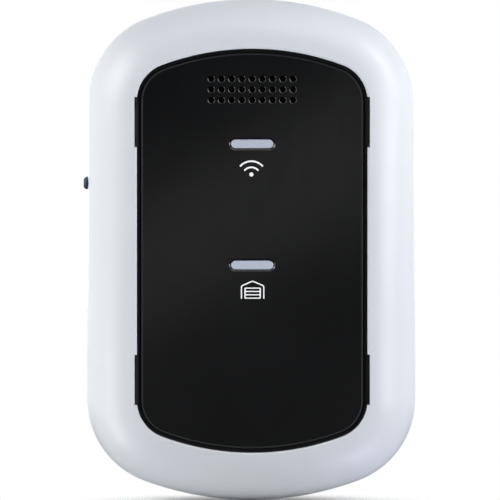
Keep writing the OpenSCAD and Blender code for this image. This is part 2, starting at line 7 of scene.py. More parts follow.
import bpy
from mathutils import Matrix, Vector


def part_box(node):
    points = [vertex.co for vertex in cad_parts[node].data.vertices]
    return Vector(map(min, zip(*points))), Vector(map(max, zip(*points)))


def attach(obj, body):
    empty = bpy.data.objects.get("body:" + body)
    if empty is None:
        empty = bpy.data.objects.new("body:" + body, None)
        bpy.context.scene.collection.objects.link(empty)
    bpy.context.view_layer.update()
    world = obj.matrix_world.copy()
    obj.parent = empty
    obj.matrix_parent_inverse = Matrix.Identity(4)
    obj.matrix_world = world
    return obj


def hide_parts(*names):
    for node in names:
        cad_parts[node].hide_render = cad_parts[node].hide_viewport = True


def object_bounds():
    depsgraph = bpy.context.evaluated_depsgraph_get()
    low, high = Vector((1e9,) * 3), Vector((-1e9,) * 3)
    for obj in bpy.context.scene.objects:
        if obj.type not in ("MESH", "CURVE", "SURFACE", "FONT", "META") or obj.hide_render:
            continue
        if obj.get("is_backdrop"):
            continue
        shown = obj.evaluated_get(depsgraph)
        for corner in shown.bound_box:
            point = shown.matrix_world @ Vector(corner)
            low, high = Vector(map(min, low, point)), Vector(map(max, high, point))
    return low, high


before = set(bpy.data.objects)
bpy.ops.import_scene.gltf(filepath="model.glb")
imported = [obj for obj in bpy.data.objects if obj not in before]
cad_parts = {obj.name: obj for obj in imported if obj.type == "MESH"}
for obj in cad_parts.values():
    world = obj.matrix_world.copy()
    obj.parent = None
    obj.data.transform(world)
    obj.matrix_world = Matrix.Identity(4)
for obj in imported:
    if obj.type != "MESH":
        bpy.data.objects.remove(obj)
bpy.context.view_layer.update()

from math import acos, atan2, cos, degrees, hypot, radians, sin, sqrt, tan
from types import SimpleNamespace

import bmesh
import bpy
from mathutils import Matrix, Vector

bl_info = {
    "name": "Garage door controller",
    "version": (1, 0, 0),
    "blender": (4, 5, 0),
    "location": "3D View > Sidebar > Controller",
    "description": "Builds a wall-mounted garage door controller around its frame",
    "category": "Object",
}

MM = 0.001
HOUSING = "housing"
SIDE_BUTTON = "side_button"
SIGNS = (-1, 1)
CORNERS = [(sx, sy) for sx in SIGNS for sy in SIGNS]
POLES = 6
# clearances: of a close fit, of a loose fit, and of a piece that floats
FIT = 0.15
SMALL_GAP = 0.2
FLOAT_GAP = 0.3
# how far a cutter reaches past the face that it cuts, and how far a chamfer's cutter does
PAST = 1
CHAMFER_PAST = 0.5
# break of the edges along the seam
EASE = 0.2
# places of the screw posts and the board's standoffs, from the sides and ends
POST_SIDE, POST_END = 11.5, 23.5
STAND_SIDE, STAND_TOP, STAND_LOW = 15.5, 66.5, 48.5
# thickness of a side lug
LUG_T = 1.2
# the terminal block's height and end wall, and the inlet's height and half width
TERMINAL_H, TERMINAL_END = 11, 0.75
INLET_H, INLET_HALF = 12.4, 4.5
# edges that meet at more than this angle stay sharp
SHARP = radians(31)
# rise of a bevel over its width: they mirror the lights beside the object and the card above it
BEVEL = tan(radians(37))
WINDOW_BEVEL = 0.65
# turns the face view to the frame's axes
HANG = Matrix.Scale(MM, 4) @ Matrix.Rotation(radians(90), 4, "X")


# Sizes and colours that a user may change.


def size(name, default, description):
    """A length in metres."""
    return bpy.props.FloatProperty(
        name=name, description=description, default=default * MM,
        subtype="DISTANCE", unit="LENGTH", min=0.0, precision=5,
    )


def colour(name, default, description):
    """A linear colour."""
    return bpy.props.FloatVectorProperty(
        name=name, description=description, default=default,
        subtype="COLOR", size=3, min=0.0, max=1.0,
    )


def amount(name, default, description):
    """A plain number."""
    return bpy.props.FloatProperty(name=name, description=description, default=default, min=0.0)


def angle(name, default, description):
    """An angle, given in degrees."""
    return bpy.props.FloatProperty(
        name=name, description=description, default=radians(default), subtype="ANGLE", unit="ROTATION",
    )


def extent(node, axis):
    """A CAD node's size along one axis, in millimetres."""
    low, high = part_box(node)
    return (high[axis] - low[axis]) / MM


class HousingSizes(bpy.types.PropertyGroup):
    width: size("Width", extent("front_bezel", 0), "Overall width of the housing")
    height: size("Height", extent("front_bezel", 2), "Overall height of the housing")
    depth: size("Depth", -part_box("front_bezel")[0][1] / MM, "Depth from the wall to the top of the ring")
    corner_r: size("Corner radius", 27.5, "Plan radius of the four corners")
    crown_r: size("Crown radius", 96, "Plan radius of the crowned top and bottom edges")
    wall: size("Wall", 2.2, "Wall thickness of both housing halves")
    rear_h: size("Rear depth", 16, "Depth of the rear half")
    floor_t: size("Floor", 2.4, "Thickness of the rear floor")
    back_r: size("Back radius", 5, "Radius around the back edge")
    lip_h: size("Lip", 1.5, "Height of the lip that laps into the ring's skirt")
    ring_w: size("Ring width", 15.6, "Plan width of the white ring")
    shoulder_r: size("Shoulder radius", 17, "Radius of the shoulder that rises from the side to the face")
    edge_r: size("Edge radius", 0.6, "Radius of the ring's inner edge")
    collar_h: size("Collar", 5.6, "Height of the ring's inner wall")


class FaceSizes(bpy.types.PropertyGroup):
    rim_w: size("Rim width", 1.4, "Visible width of the black rim")
    rim_drop: size("Rim drop", 1.2, "How far the rim lies below the panel")
    plate_t: size("Panel thickness", 2, "Thickness of the gloss panel")
    plate_drop: size("Panel drop", 0.6, "How far the panel lies below the ring's edge")
    plate_edge: size("Panel edge", 0.5, "Width of the bevel around the panel")
    tray_t: size("Tray thickness", 2, "Thickness of the tray under the panel")
    lug_len: size("Lug length", 15.4, "Length of a side lug")
    lug_end: size("Lug place", 38.4, "Distance of the lugs from the top or bottom edge")
    lug_out: size("Lug reach", 0.6, "How far a lug reaches into the ring")
    hole_d: size("Hole diameter", 2, "Diameter of a sound hole")
    hole_edge: size("Hole edge", 0.1, "Chamfer around a sound hole")
    column_pitch: size("Column pitch", 3.18, "Distance between sound holes in a row")
    row_pitch: size("Row pitch", 3.3, "Distance between the rows")
    grille_drop: size("Hole place", 28.3, "Distance of the sound holes from the top edge")
    light_w: size("Window length", 13.4, "Length of a light window")
    light_h: size("Window height", 2.9, "Height of a light window")
    light_edge: size("Window edge", 0.36, "Chamfer around a light window")
    network_drop: size("Upper window place", 45.2, "Distance of the upper window from the top edge")
    door_drop: size("Lower window place", 82.9, "Distance of the lower window from the top edge")
    ink_t: size("Print thickness", 0.03, "Thickness of the printed marks")
    button_d: size("Button diameter", 4, "Diameter of the side button")
    button_out: size("Button reach", 1.05, "How far the side button stands out")
    button_drop: size("Button place", 57.5, "Distance of the side button from the top edge")


class BackSizes(bpy.types.PropertyGroup):
    bay_side: size("Bay side", 19.5, "Distance of the wiring bay from each side")
    bay_h: size("Bay depth", 13, "Depth of the wiring bay")
    bay_len: size("Bay length", 38.5, "Distance of the bay's end wall from the bottom edge")
    bay_wall: size("Bay wall", 1.4, "Thickness of the bay's walls")
    exit_step: size("Exit step", 5, "Step between the bay's side and the exit's side")
    key_spacing: size("Keyhole spacing", 52, "Distance between the two keyholes")
    key_drop: size("Keyhole place", 42.5, "Distance of the keyholes from the top edge")
    key_d: size("Keyhole entry", 9, "Diameter of a keyhole's entry")
    slot_w: size("Keyhole slot", 4.6, "Width of a keyhole's slot")
    slot_rise: size("Slot rise", 8, "Length of a keyhole's slot")
    pocket_h: size("Keyhole pocket", 5, "Depth of the space behind a keyhole")
    vent_w: size("Vent length", 30, "Length of a vent slot")
    vent_h: size("Vent height", 2, "Height of a vent slot")
    vent_pitch: size("Vent pitch", 5, "Distance between the vent slots")
    vent_y: size("Vent place", 8, "Distance of the vents' middle below the middle")
    chamfer: size("Edge break", 0.35, "Chamfer around the openings in the back")
    pole_pitch: size("Pole pitch", 5, "Distance between the terminal poles")
    jack_side: size("Inlet place", 10, "Distance of the power inlet from the bay's right side")
    terminal_side: size("Terminal place", 18.5, "Distance of the terminals from the bay's left side")


class Finishes(bpy.types.PropertyGroup):
    white: colour("White shell", (0.80, 0.825, 0.86), "Satin bluish white plastic of both halves")
    tray: colour("Black tray", (0.0042, 0.0045, 0.0048), "Satin black plastic of the tray")
    gloss: colour("Gloss panel", (0.0045, 0.0048, 0.0052), "Gloss black plastic of the panel")
    milk: colour("Light windows", (0.58, 0.625, 0.735), "Milky plastic of the light windows")
    ink: colour("Print", (0.93, 0.935, 0.94), "White print on the panel")
    navy: colour("Side button", (0.018, 0.037, 0.062), "Dark blue plastic of the side button")
    terminal: colour("Terminals", (0.13, 0.15, 0.165), "Grey plastic of the terminal block")
    lever: colour("Levers", (0.62, 0.15, 0.025), "Orange plastic of the release levers")
    resist: colour("Solder resist", (0.010, 0.085, 0.035), "Green coat of the circuit board")
    moulded: colour("Black parts", (0.014, 0.015, 0.017), "Black moulded electronic parts")
    steel: colour("Steel", (0.52, 0.53, 0.55), "Zinc plated steel")
    brass: colour("Brass", (0.66, 0.46, 0.16), "Plated brass")


class Studio(bpy.types.PropertyGroup):
    distance: size("Camera distance", 2000, "Distance of the camera from the front edge")
    frame_w: size("Frame width", 156.25, "Width of the scene that fills the image")
    rise: angle("Camera rise", 1.4, "How far the camera looks down on the face")
    swing: angle("Camera swing", -1.0, "How far the camera stands to the side")
    aside: size("Camera offset", 0.55, "How far the object lies right of the image's middle")
    lower: size("Camera lift", 0.1, "How far the object lies below the image's middle")
    right: amount("Right light", 1.11, "Power of the soft box on the right")
    upper_left: amount("Upper left light", 1.04, "Power of the soft box at the upper left")
    low: amount("Low light", 1.64, "Power of the soft box below the right side")
    near_upper_left: amount("Near upper left light", 0.25, "Power of the small box by the upper left edge")
    near_lower_left: amount("Near lower left light", 0.30, "Power of the small box by the lower left edge")
    near_right: amount("Near right light", 0.285, "Power of the small box by the right edge")
    near_top: amount("Near top light", 0.157, "Power of the small box by the upper right edge")
    back: amount("Back light", 0.5, "Power of each soft box behind the object")
    ambient: amount("Ambient", 0.08, "Level of the light from all around")


def in_mm(group):
    """The lengths of a property group, in millimetres."""
    names = [p.identifier for p in group.bl_rna.properties if p.identifier not in ("rna_type", "name")]
    return {n: getattr(group, n) / MM for n in names}


def shape():
    """Every size that the pieces share, in millimetres."""
    scene = bpy.context.scene
    d = SimpleNamespace(**in_mm(scene.controller_housing), **in_mm(scene.controller_face))
    d.__dict__.update(in_mm(scene.controller_back))
    d.side = d.width / 2
    d.end = d.height / 2
    d.corner_x = d.side - d.corner_r
    d.crown_y = d.end - d.crown_r
    d.corner_y = d.crown_y + sqrt((d.crown_r - d.corner_r) ** 2 - d.corner_x ** 2)
    d.corner_a = degrees(atan2(d.corner_y - d.crown_y, d.corner_x))
    d.edge_u = d.ring_w - d.edge_r
    d.edge_z = d.depth - d.edge_r
    d.shoulder_z = d.edge_z - sqrt((d.shoulder_r - d.edge_r) ** 2 - (d.edge_u - d.shoulder_r) ** 2)
    d.edge_a = degrees(atan2(d.edge_z - d.shoulder_z, d.edge_u - d.shoulder_r))
    d.collar_z = d.edge_z - d.collar_h
    d.seam_z = d.rear_h + SMALL_GAP
    d.lap = d.wall / 2
    d.rebate_z = d.seam_z + d.lip_h
    d.plate_z = d.edge_z - d.plate_drop
    d.tray_top = d.plate_z - d.plate_t
    d.tray_z = d.tray_top - d.tray_t
    d.rim_z = d.plate_z - d.rim_drop
    d.frame_u = d.ring_w + FIT
    d.plate_u = d.ring_w + d.rim_w
    d.hook_h = 1.6
    d.skirt_z = d.collar_z - d.hook_h - FIT
    d.board_z = -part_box("main_board")[1][1] / MM
    d.board_top = -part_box("main_board")[0][1] / MM
    d.lug_y = d.end - d.lug_end
    d.grille_y = d.end - d.grille_drop
    d.network_y = d.end - d.network_drop
    d.door_y = d.end - d.door_drop
    d.button_y = d.end - d.button_drop
    d.button_z = d.board_top + 3.8
    d.key_y = d.end - d.key_drop
    d.bay_w = 2 * (d.side - d.bay_side)
    d.bay_top = d.end - d.bay_len
    d.exit_w = d.bay_w - 2 * d.exit_step
    d.terminal_x = d.terminal_side - d.bay_w / 2
    d.jack_x = d.bay_w / 2 - d.jack_side
    d.posts = [(sx * (d.side - POST_SIDE), sy * (d.end - POST_END)) for sx, sy in CORNERS]
    rows = (d.end - STAND_TOP, STAND_LOW - d.end)
    d.stands = [(sx * (d.side - STAND_SIDE), y) for sx in SIGNS for y in rows]
    return d


# Plan and section curves.


def arc(centre, r, a0, a1, n):
    """Points on an arc, from a0 to a1 degrees."""
    turns = [radians(a0 + (a1 - a0) * i / n) for i in range(n + 1)]
    return [(centre[0] + r * cos(t), centre[1] + r * sin(t)) for t in turns]


def outline(d, inset, corner=26, crown=26, straight=24):
    """The housing's plan outline, moved inwards."""
    r, k = d.corner_r - inset, d.crown_r - inset
    a = d.corner_a
    rise = [-d.corner_y + 2 * d.corner_y * i / straight for i in range(1, straight)]
    half = arc((d.corner_x, d.corner_y), r, 0, a, corner)
    half += arc((0, d.crown_y), k, a, 180 - a, crown)[1:-1]
    half += arc((-d.corner_x, d.corner_y), r, 180 - a, 180, corner)
    half += [(inset - d.side, -y) for y in rise]
    return half + [(-x, -y) for x, y in half]


def stadium(w, h, n=16):
    """A lozenge with round ends."""
    x = (w - h) / 2
    return arc((x, 0), h / 2, -90, 90, n) + arc((-x, 0), h / 2, 90, 270, n)


def round_box(w, h, r, n=6):
    """A rectangle with round corners."""
    points = []
    for quarter, (sx, sy) in enumerate(((1, 1), (-1, 1), (-1, -1), (1, -1))):
        centre = (sx * (w / 2 - r), sy * (h / 2 - r))
        points += arc(centre, r, 90 * quarter, 90 * quarter + 90, n)
    return points


def circle(r, n=48):
    return arc((0, 0), r, 0, 360, n)[:-1]


def keyhole(d, grow):
    """A keyhole's outline: a round entry that leads up to a slot."""
    r, half = d.key_d / 2 + grow, d.slot_w / 2 + grow
    a = degrees(acos(half / r))
    return arc((0, 0), r, 180 - a, 360 + a, 40) + arc((0, d.slot_rise), half, 0, 180, 20)


def clip(points, a, b, c):
    """The part of a convex outline where a*x + b*y is at most c."""
    kept = []
    for p, q in zip(points, points[1:] + points[:1]):
        dp, dq = a * p[0] + b * p[1] - c, a * q[0] + b * q[1] - c
        if dp <= 0:
            kept.append(p)
        if dp * dq < 0:
            t = dp / (dp - dq)
            kept.append((p[0] + t * (q[0] - p[0]), p[1] + t * (q[1] - p[1])))
    return kept


def at(points, x, y):
    return [(px + x, py + y) for px, py in points]


def level(points, z):
    return [(x, y, z) for x, y in points]


# Solids, in millimetres.


def skin(rings, loop=False):
    """A closed solid through rings of points; a loop has no caps."""
    bm = bmesh.new()
    rows = [[bm.verts.new(p) for p in ring] for ring in rings]
    n = len(rows[0])
    for a, b in zip(rows, rows[1:] + (rows[:1] if loop else [])):
        for i in range(n):
            j = (i + 1) % n
            bm.faces.new((a[i], a[j], b[j], b[i]))
    if not loop:
        bm.faces.new(rows[0][::-1])
        bm.faces.new(rows[-1])
    bmesh.ops.recalc_face_normals(bm, faces=bm.faces)
    return bm


def prism(points, z0, z1):
    return skin([level(points, z0), level(points, z1)])


def hull(points):
    """The convex solid around a set of points."""
    bm = bmesh.new()
    for p in points:
        bm.verts.new(p)
    bmesh.ops.convex_hull(bm, input=bm.verts)
    bmesh.ops.dissolve_limit(bm, angle_limit=radians(0.5), verts=bm.verts, edges=bm.edges)
    bmesh.ops.recalc_face_normals(bm, faces=bm.faces)
    return bm


def box(a, b, soft=0.0, steps=3):
    """A block between two corners, with its edges rounded."""
    bm = bmesh.new()
    bmesh.ops.create_cube(bm, size=1)
    for v in bm.verts:
        v.co = [b[i] if v.co[i] > 0 else a[i] for i in range(3)]
    if soft:
        bmesh.ops.bevel(bm, geom=bm.edges, offset=soft, segments=steps, profile=0.5, affect="EDGES")
    return bm


def lathe(profile, place, axis="Z", n=48):
    """A profile of (distance along the axis, radius) turned about an axis through a place."""
    bm = skin([level(circle(max(r, 0.01), n), t) for t, r in profile])
    quarter = radians(90)
    turn = {"Z": Matrix(), "X": Matrix.Rotation(quarter, 4, "Y"), "-Y": Matrix.Rotation(quarter, 4, "X")}
    bm.transform(Matrix.Translation(place) @ turn[axis])
    return bm


def rod(x, y, r, z0, z1, n=48):
    return lathe([(z0, r), (z1, r)], (x, y, 0), n=n)


def ribbon(path, width, z0, z1, cap=6):
    """A flat stroke along a path, with round ends."""
    half = width / 2
    stations = []
    for k, p in enumerate(path):
        a, b = path[max(k - 1, 0)], path[min(k + 1, len(path) - 1)]
        run = hypot(b[0] - a[0], b[1] - a[1])
        stations.append((p, ((b[0] - a[0]) / run, (b[1] - a[1]) / run), half))
    for end, sign in ((0, -1), (-1, 1)):
        (x, y), t, _ = stations[end]
        rounds = []
        for i in range(1, cap + 1):
            s = radians(88 * i / cap)
            out = sign * half * sin(s)
            rounds.append(((x + out * t[0], y + out * t[1]), t, half * cos(s)))
        stations = rounds[::-1] + stations if end == 0 else stations + rounds
    rings = []
    for (x, y), (tx, ty), h in stations:
        left, right = (x - ty * h, y + tx * h), (x + ty * h, y - tx * h)
        rings.append([(*left, z0), (*right, z0), (*right, z1), (*left, z1)])
    return skin(rings)


def merged(parts):
    """Several solids that don't touch, as one."""
    total = bmesh.new()
    for bm in parts:
        mesh = bpy.data.meshes.new("part")
        bm.to_mesh(mesh)
        bm.free()
        total.from_mesh(mesh)
        bpy.data.meshes.remove(mesh)
    return total


def as_object(bm, name):
    mesh = bpy.data.meshes.new(name)
    bm.to_mesh(mesh)
    bm.free()
    piece = bpy.data.objects.new(name, mesh)
    bpy.context.scene.collection.objects.link(piece)
    return piece


def discard(piece):
    mesh = piece.data
    bpy.data.objects.remove(piece)
    bpy.data.meshes.remove(mesh)


def carve(bm, steps):
    """A solid after a list of ("UNION" or "DIFFERENCE", solid) steps."""
    base = as_object(bm, "base")
    tools = []
    for kind, tool in steps:
        cutter = as_object(tool, "tool")
        cut = base.modifiers.new(kind, "BOOLEAN")
        cut.operation = kind
        cut.solver = "MANIFOLD"
        cut.object = cutter
        tools.append(cutter)
    graph = bpy.context.evaluated_depsgraph_get()
    result = bmesh.new()
    result.from_object(base, graph)
    for done in [base] + tools:
        discard(done)
    if len(result.faces) == 0:
        raise RuntimeError("a cut left nothing of the solid")
    bmesh.ops.remove_doubles(result, verts=result.verts, dist=1e-4)
    bmesh.ops.dissolve_degenerate(result, edges=result.edges, dist=1e-4)
    return result


def place(bm, name, body, material, *nodes, slot=None, sharp=SHARP):
    """Turns a solid to the frame, dresses it and lets it ride on its body."""
    bm.transform(HANG)
    piece = as_object(bm, name)
    piece.data.materials.append(material)
    piece.data.shade_smooth()
    piece.data.set_sharp_from_angle(angle=sharp)
    even = piece.modifiers.new("even normals", "WEIGHTED_NORMAL")
    even.keep_sharp = True
    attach(piece, body)
    if nodes:
        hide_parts(*nodes)
    return piece


# Shared effects.


def new_group(name, scale, *outputs):
    """An empty node group that takes a vector and a scale, and puts out values."""
    tree = bpy.data.node_groups.new(name, "ShaderNodeTree")
    tree.interface.new_socket("Vector", in_out="INPUT", socket_type="NodeSocketVector")
    socket = tree.interface.new_socket("Scale", in_out="INPUT", socket_type="NodeSocketFloat")
    socket.default_value = scale
    for label in outputs:
        tree.interface.new_socket(label, in_out="OUTPUT", socket_type="NodeSocketFloat")
    given = tree.nodes.new("NodeGroupInput").outputs
    return tree, given["Vector"], given["Scale"], tree.nodes.new("NodeGroupOutput").inputs


def feed(tree, socket, value):
    """Sets a socket to a number, or links another socket to it."""
    if isinstance(value, (int, float)):
        socket.default_value = value
    else:
        tree.links.new(value, socket)


def maths(tree, kind, *values):
    """A maths node fed by sockets or numbers."""
    node = tree.nodes.new("ShaderNodeMath")
    node.operation = kind
    for socket, value in zip(node.inputs, values):
        feed(tree, socket, value)
    return node.outputs[0]


def spread(tree, value, low, high, to_low=0.0, to_high=1.0, kind="SMOOTHSTEP"):
    """A smooth or straight step of a value between two levels."""
    node = tree.nodes.new("ShaderNodeMapRange")
    node.interpolation_type = kind
    for label, number in (("From Min", low), ("From Max", high), ("To Min", to_low), ("To Max", to_high)):
        node.inputs[label].default_value = number
    tree.links.new(value, node.inputs["Value"])
    return node.outputs["Result"]


def noise(tree, vector, scale, detail=2.0, rough=0.5, distortion=0.0):
    """A noise texture; its scale is a number or a socket."""
    node = tree.nodes.new("ShaderNodeTexNoise")
    tree.links.new(vector, node.inputs["Vector"])
    feed(tree, node.inputs["Scale"], scale)
    for label, value in (("Detail", detail), ("Roughness", rough), ("Distortion", distortion)):
        node.inputs[label].default_value = value
    return node.outputs["Fac"]


def cells(tree, vector, scale):
    """A Voronoi texture node."""
    node = tree.nodes.new("ShaderNodeTexVoronoi")
    tree.links.new(vector, node.inputs["Vector"])
    tree.links.new(scale, node.inputs["Scale"])
    return node


def mould_grain():
    """Spark-eroded mould texture: fine pits, and slow clouds of tone."""
    tree, vector, scale, out = new_group("mould_grain", 2600.0, "Height", "Clouds")
    fine = noise(tree, vector, scale, 3.0, 0.6)
    pits = cells(tree, vector, maths(tree, "MULTIPLY", scale, 0.7)).outputs["Distance"]
    tree.links.new(maths(tree, "MULTIPLY_ADD", pits, 0.6, fine), out["Height"])
    slow = noise(tree, vector, 38.0, 3.0, 0.55)
    tree.links.new(spread(tree, slow, 0.3, 0.7), out["Clouds"])


def handling():
    """Traces of use: soft smudges and hair-fine scuffs."""
    tree, vector, scale, out = new_group("handling", 60.0, "Smudge", "Scuff")
    blot = noise(tree, vector, scale, 4.0, 0.62, 0.8)
    stretch = tree.nodes.new("ShaderNodeMapping")
    stretch.inputs["Rotation"].default_value = (0.0, radians(24), 0.0)
    stretch.inputs["Scale"].default_value = (1.0, 1.0, 14.0)
    tree.links.new(vector, stretch.inputs["Vector"])
    hair = noise(tree, stretch.outputs["Vector"], 260.0)
    tree.links.new(spread(tree, blot, 0.42, 0.72), out["Smudge"])
    tree.links.new(spread(tree, hair, 0.66, 0.74), out["Scuff"])


def settled_dust():
    """Dust that lies on what faces up."""
    tree, vector, scale, out = new_group("settled_dust", 900.0, "Mask")
    facing = tree.nodes.new("ShaderNodeNewGeometry")
    apart = tree.nodes.new("ShaderNodeSeparateXYZ")
    tree.links.new(facing.outputs["Normal"], apart.inputs["Vector"])
    specks = noise(tree, vector, scale, 3.0, 0.7)
    up = spread(tree, apart.outputs["Z"], 0.45, 1.0)
    tree.links.new(maths(tree, "MULTIPLY", up, spread(tree, specks, 0.48, 0.75)), out["Mask"])


def weave():
    """Plain weave of a fine cloth."""
    tree, vector, scale, out = new_group("weave", 1400.0, "Height", "Thread")
    threads = []
    for direction in ("X", "Z"):
        wave = tree.nodes.new("ShaderNodeTexWave")
        wave.bands_direction = direction
        tree.links.new(vector, wave.inputs["Vector"])
        tree.links.new(scale, wave.inputs["Scale"])
        wave.inputs["Distortion"].default_value = 0.6
        threads.append(wave.outputs["Fac"])
    over = maths(tree, "MULTIPLY", *threads)
    tree.links.new(over, out["Height"])
    tree.links.new(spread(tree, over, 0.1, 0.7), out["Thread"])


def copper_traces():
    """Copper lines under solder resist, and the dots of plated holes."""
    tree, vector, scale, out = new_group("copper_traces", 120.0, "Trace", "Pad")
    lines = cells(tree, vector, scale)
    lines.feature = "DISTANCE_TO_EDGE"
    dots = cells(tree, vector, maths(tree, "MULTIPLY", scale, 2.2))
    dots.distance = "CHEBYCHEV"
    dots.inputs["Randomness"].default_value = 0.75
    tree.links.new(spread(tree, lines.outputs["Distance"], 0.09, 0.06), out["Trace"])
    tree.links.new(spread(tree, dots.outputs["Distance"], 0.17, 0.14), out["Pad"])


EFFECTS = {
    "mould_grain": mould_grain, "handling": handling, "settled_dust": settled_dust,
    "weave": weave, "copper_traces": copper_traces,
}


def effect(tree, name, vector, scale):
    """Places a shared effect in a material."""
    if name not in bpy.data.node_groups:
        EFFECTS[name]()
    node = tree.nodes.new("ShaderNodeGroup")
    node.node_tree = bpy.data.node_groups[name]
    node.inputs["Scale"].default_value = scale
    tree.links.new(vector, node.inputs["Vector"])
    return node.outputs


# Finishes.


def coordinates(tree):
    """The object's own coordinates."""
    return tree.nodes.new("ShaderNodeTexCoord").outputs["Object"]


def blend_colour(tree, mask, a, b):
    """One colour that turns into another where a mask is high."""
    node = tree.nodes.new("ShaderNodeMix")
    node.data_type = "RGBA"
    tree.links.new(mask, node.inputs["Factor"])
    sockets = [s for s in node.inputs if s.type == "RGBA"]
    for socket, value in zip(sockets, (a, b)):
        if isinstance(value, tuple):
            socket.default_value = (*value, 1.0)
        else:
            tree.links.new(value, socket)
    return [s for s in node.outputs if s.type == "RGBA"][0]


def shade(c, k):
    """A colour made darker or lighter."""
    return tuple(min(1.0, v * k) for v in c)


def blank(name):
    """A new material with its tree and its shader's sockets."""
    material = bpy.data.materials.new(name)
    material.use_nodes = True
    tree = material.node_tree
    return material, tree, tree.nodes["Principled BSDF"].inputs


def roughen(tree, sockets, smudge, low, high):
    """Roughness between two levels, higher where a hand has smudged the surface."""
    tree.links.new(spread(tree, smudge, 0.0, 1.0, low, high), sockets["Roughness"])


def emboss(tree, sockets, height, deep):
    """Raises the surface by up to a depth, in millimetres, where a height is high."""
    node = tree.nodes.new("ShaderNodeBump")
    node.inputs["Distance"].default_value = deep * MM
    tree.links.new(height, node.inputs["Height"])
    tree.links.new(node.outputs["Normal"], sockets["Normal"])


def finish(name, base, rough, cloud, grain, grain_mm, smudge, dust=0.0, **settings):
    """A moulded, printed or plated finish with its clouds, smudges, scuffs, dust and grain."""
    name = f"{name}_finish"
    if name in bpy.data.materials:
        return bpy.data.materials[name]
    base = tuple(base)
    material, tree, sockets = blank(name)
    material.diffuse_color = (*base, 1.0)
    vector = coordinates(tree)
    texture = effect(tree, "mould_grain", vector, grain)
    use = effect(tree, "handling", vector, smudge)
    tint = blend_colour(tree, texture["Clouds"], base, shade(base, cloud))
    # scuffs darken a pale surface and lighten a dark one
    scuffed = shade(base, 0.8 if max(base) > 0.3 else 1.8)
    tint = blend_colour(tree, maths(tree, "MULTIPLY", use["Scuff"], 0.25), tint, scuffed)
    if dust:
        specks = effect(tree, "settled_dust", vector, 900.0)["Mask"]
        tint = blend_colour(tree, maths(tree, "MULTIPLY", specks, dust), tint, (0.42, 0.41, 0.39))
    tree.links.new(tint, sockets["Base Color"])
    roughen(tree, sockets, use["Smudge"], *rough)
    emboss(tree, sockets, texture["Height"], grain_mm)
    for label, value in settings.items():
        sockets[label.replace("_", " ")].default_value = value
    return material


def cloth_finish():
    """Black woven dust cloth."""
    if "dust_cloth" in bpy.data.materials:
        return bpy.data.materials["dust_cloth"]
    material, tree, sockets = blank("dust_cloth")
    vector = coordinates(tree)
    cloth = effect(tree, "weave", vector, 1400.0)
    use = effect(tree, "handling", vector, 120.0)
    tint = blend_colour(tree, cloth["Thread"], (0.003, 0.003, 0.003), (0.016, 0.016, 0.017))
    tree.links.new(tint, sockets["Base Color"])
    roughen(tree, sockets, use["Smudge"], 0.8, 0.95)
    emboss(tree, sockets, cloth["Height"], 0.05)
    sockets["Sheen Weight"].default_value = 0.2
    return material


def board_finish(resist):
    """Green solder resist over copper lines, with plated dots."""
    if "solder_resist" in bpy.data.materials:
        return bpy.data.materials["solder_resist"]
    material, tree, sockets = blank("solder_resist")
    vector = coordinates(tree)
    copper = effect(tree, "copper_traces", vector, 130.0)
    use = effect(tree, "handling", vector, 80.0)
    base = tuple(resist)
    tint = blend_colour(tree, copper["Trace"], base, shade(base, 1.9))
    tint = blend_colour(tree, copper["Pad"], tint, (0.5, 0.42, 0.22))
    tree.links.new(tint, sockets["Base Color"])
    roughen(tree, sockets, use["Smudge"], 0.22, 0.36)
    tree.links.new(copper["Pad"], sockets["Metallic"])
    emboss(tree, sockets, copper["Trace"], 0.03)
    return material


def finishes():
    """The object's finishes by name."""
    c = bpy.context.scene.controller_finishes
    return SimpleNamespace(
        white=finish("satin_white", c.white, (0.34, 0.44), 0.985, 2400.0, 0.0035, 45.0, dust=0.05),
        tray=finish("satin_black", c.tray, (0.42, 0.56), 1.25, 3000.0, 0.006, 60.0, dust=0.03,
                    Specular_IOR_Level=0.3),
        gloss=finish("polished_black", c.gloss, (0.035, 0.085), 1.3, 400.0, 0.0004, 42.0, dust=0.02),
        milk=finish("milky_window", c.milk, (0.25, 0.36), 0.96, 1500.0, 0.002, 140.0),
        # the print also glows faintly in white: painted light that makes the marks brighter than the lamps
        # alone would
        ink=finish("white_print_with_painted_glow", c.ink, (0.45, 0.6), 0.96, 6000.0, 0.002, 120.0,
                   Emission_Color=(1, 1, 1, 1), Emission_Strength=0.24),
        navy=finish("navy_button", c.navy, (0.3, 0.42), 1.2, 3200.0, 0.004, 150.0, dust=0.05),
        terminal=finish("grey_terminal", c.terminal, (0.4, 0.55), 0.9, 2600.0, 0.005, 90.0, dust=0.05),
        lever=finish("orange_lever", c.lever, (0.36, 0.5), 0.9, 3000.0, 0.004, 160.0, dust=0.03),
        part=finish("moulded_black", c.moulded, (0.42, 0.58), 1.3, 3600.0, 0.006, 110.0, dust=0.05),
        relay=finish("relay_navy", c.navy, (0.3, 0.4), 1.2, 3000.0, 0.004, 120.0, dust=0.04),
        can=finish("capacitor_sleeve", shade(c.navy, 0.8), (0.22, 0.34), 1.2, 2000.0, 0.003, 100.0, dust=0.04),
        lamp=finish("lamp_body", (0.78, 0.77, 0.70), (0.3, 0.42), 0.95, 2600.0, 0.003, 160.0),
        foam=finish("soft_foam", (0.02, 0.02, 0.021), (0.85, 0.95), 1.5, 1100.0, 0.12, 160.0),
        cone=finish("paper_cone", (0.035, 0.036, 0.038), (0.6, 0.75), 1.3, 1500.0, 0.02, 90.0),
        steel=finish("plated_steel", c.steel, (0.24, 0.42), 0.88, 1600.0, 0.003, 180.0, Metallic=1.0),
        brass=finish("plated_brass", c.brass, (0.2, 0.34), 0.9, 1600.0, 0.002, 200.0, Metallic=1.0),
        cloth=cloth_finish(),
        board=board_finish(c.resist),
    )


# Pieces.


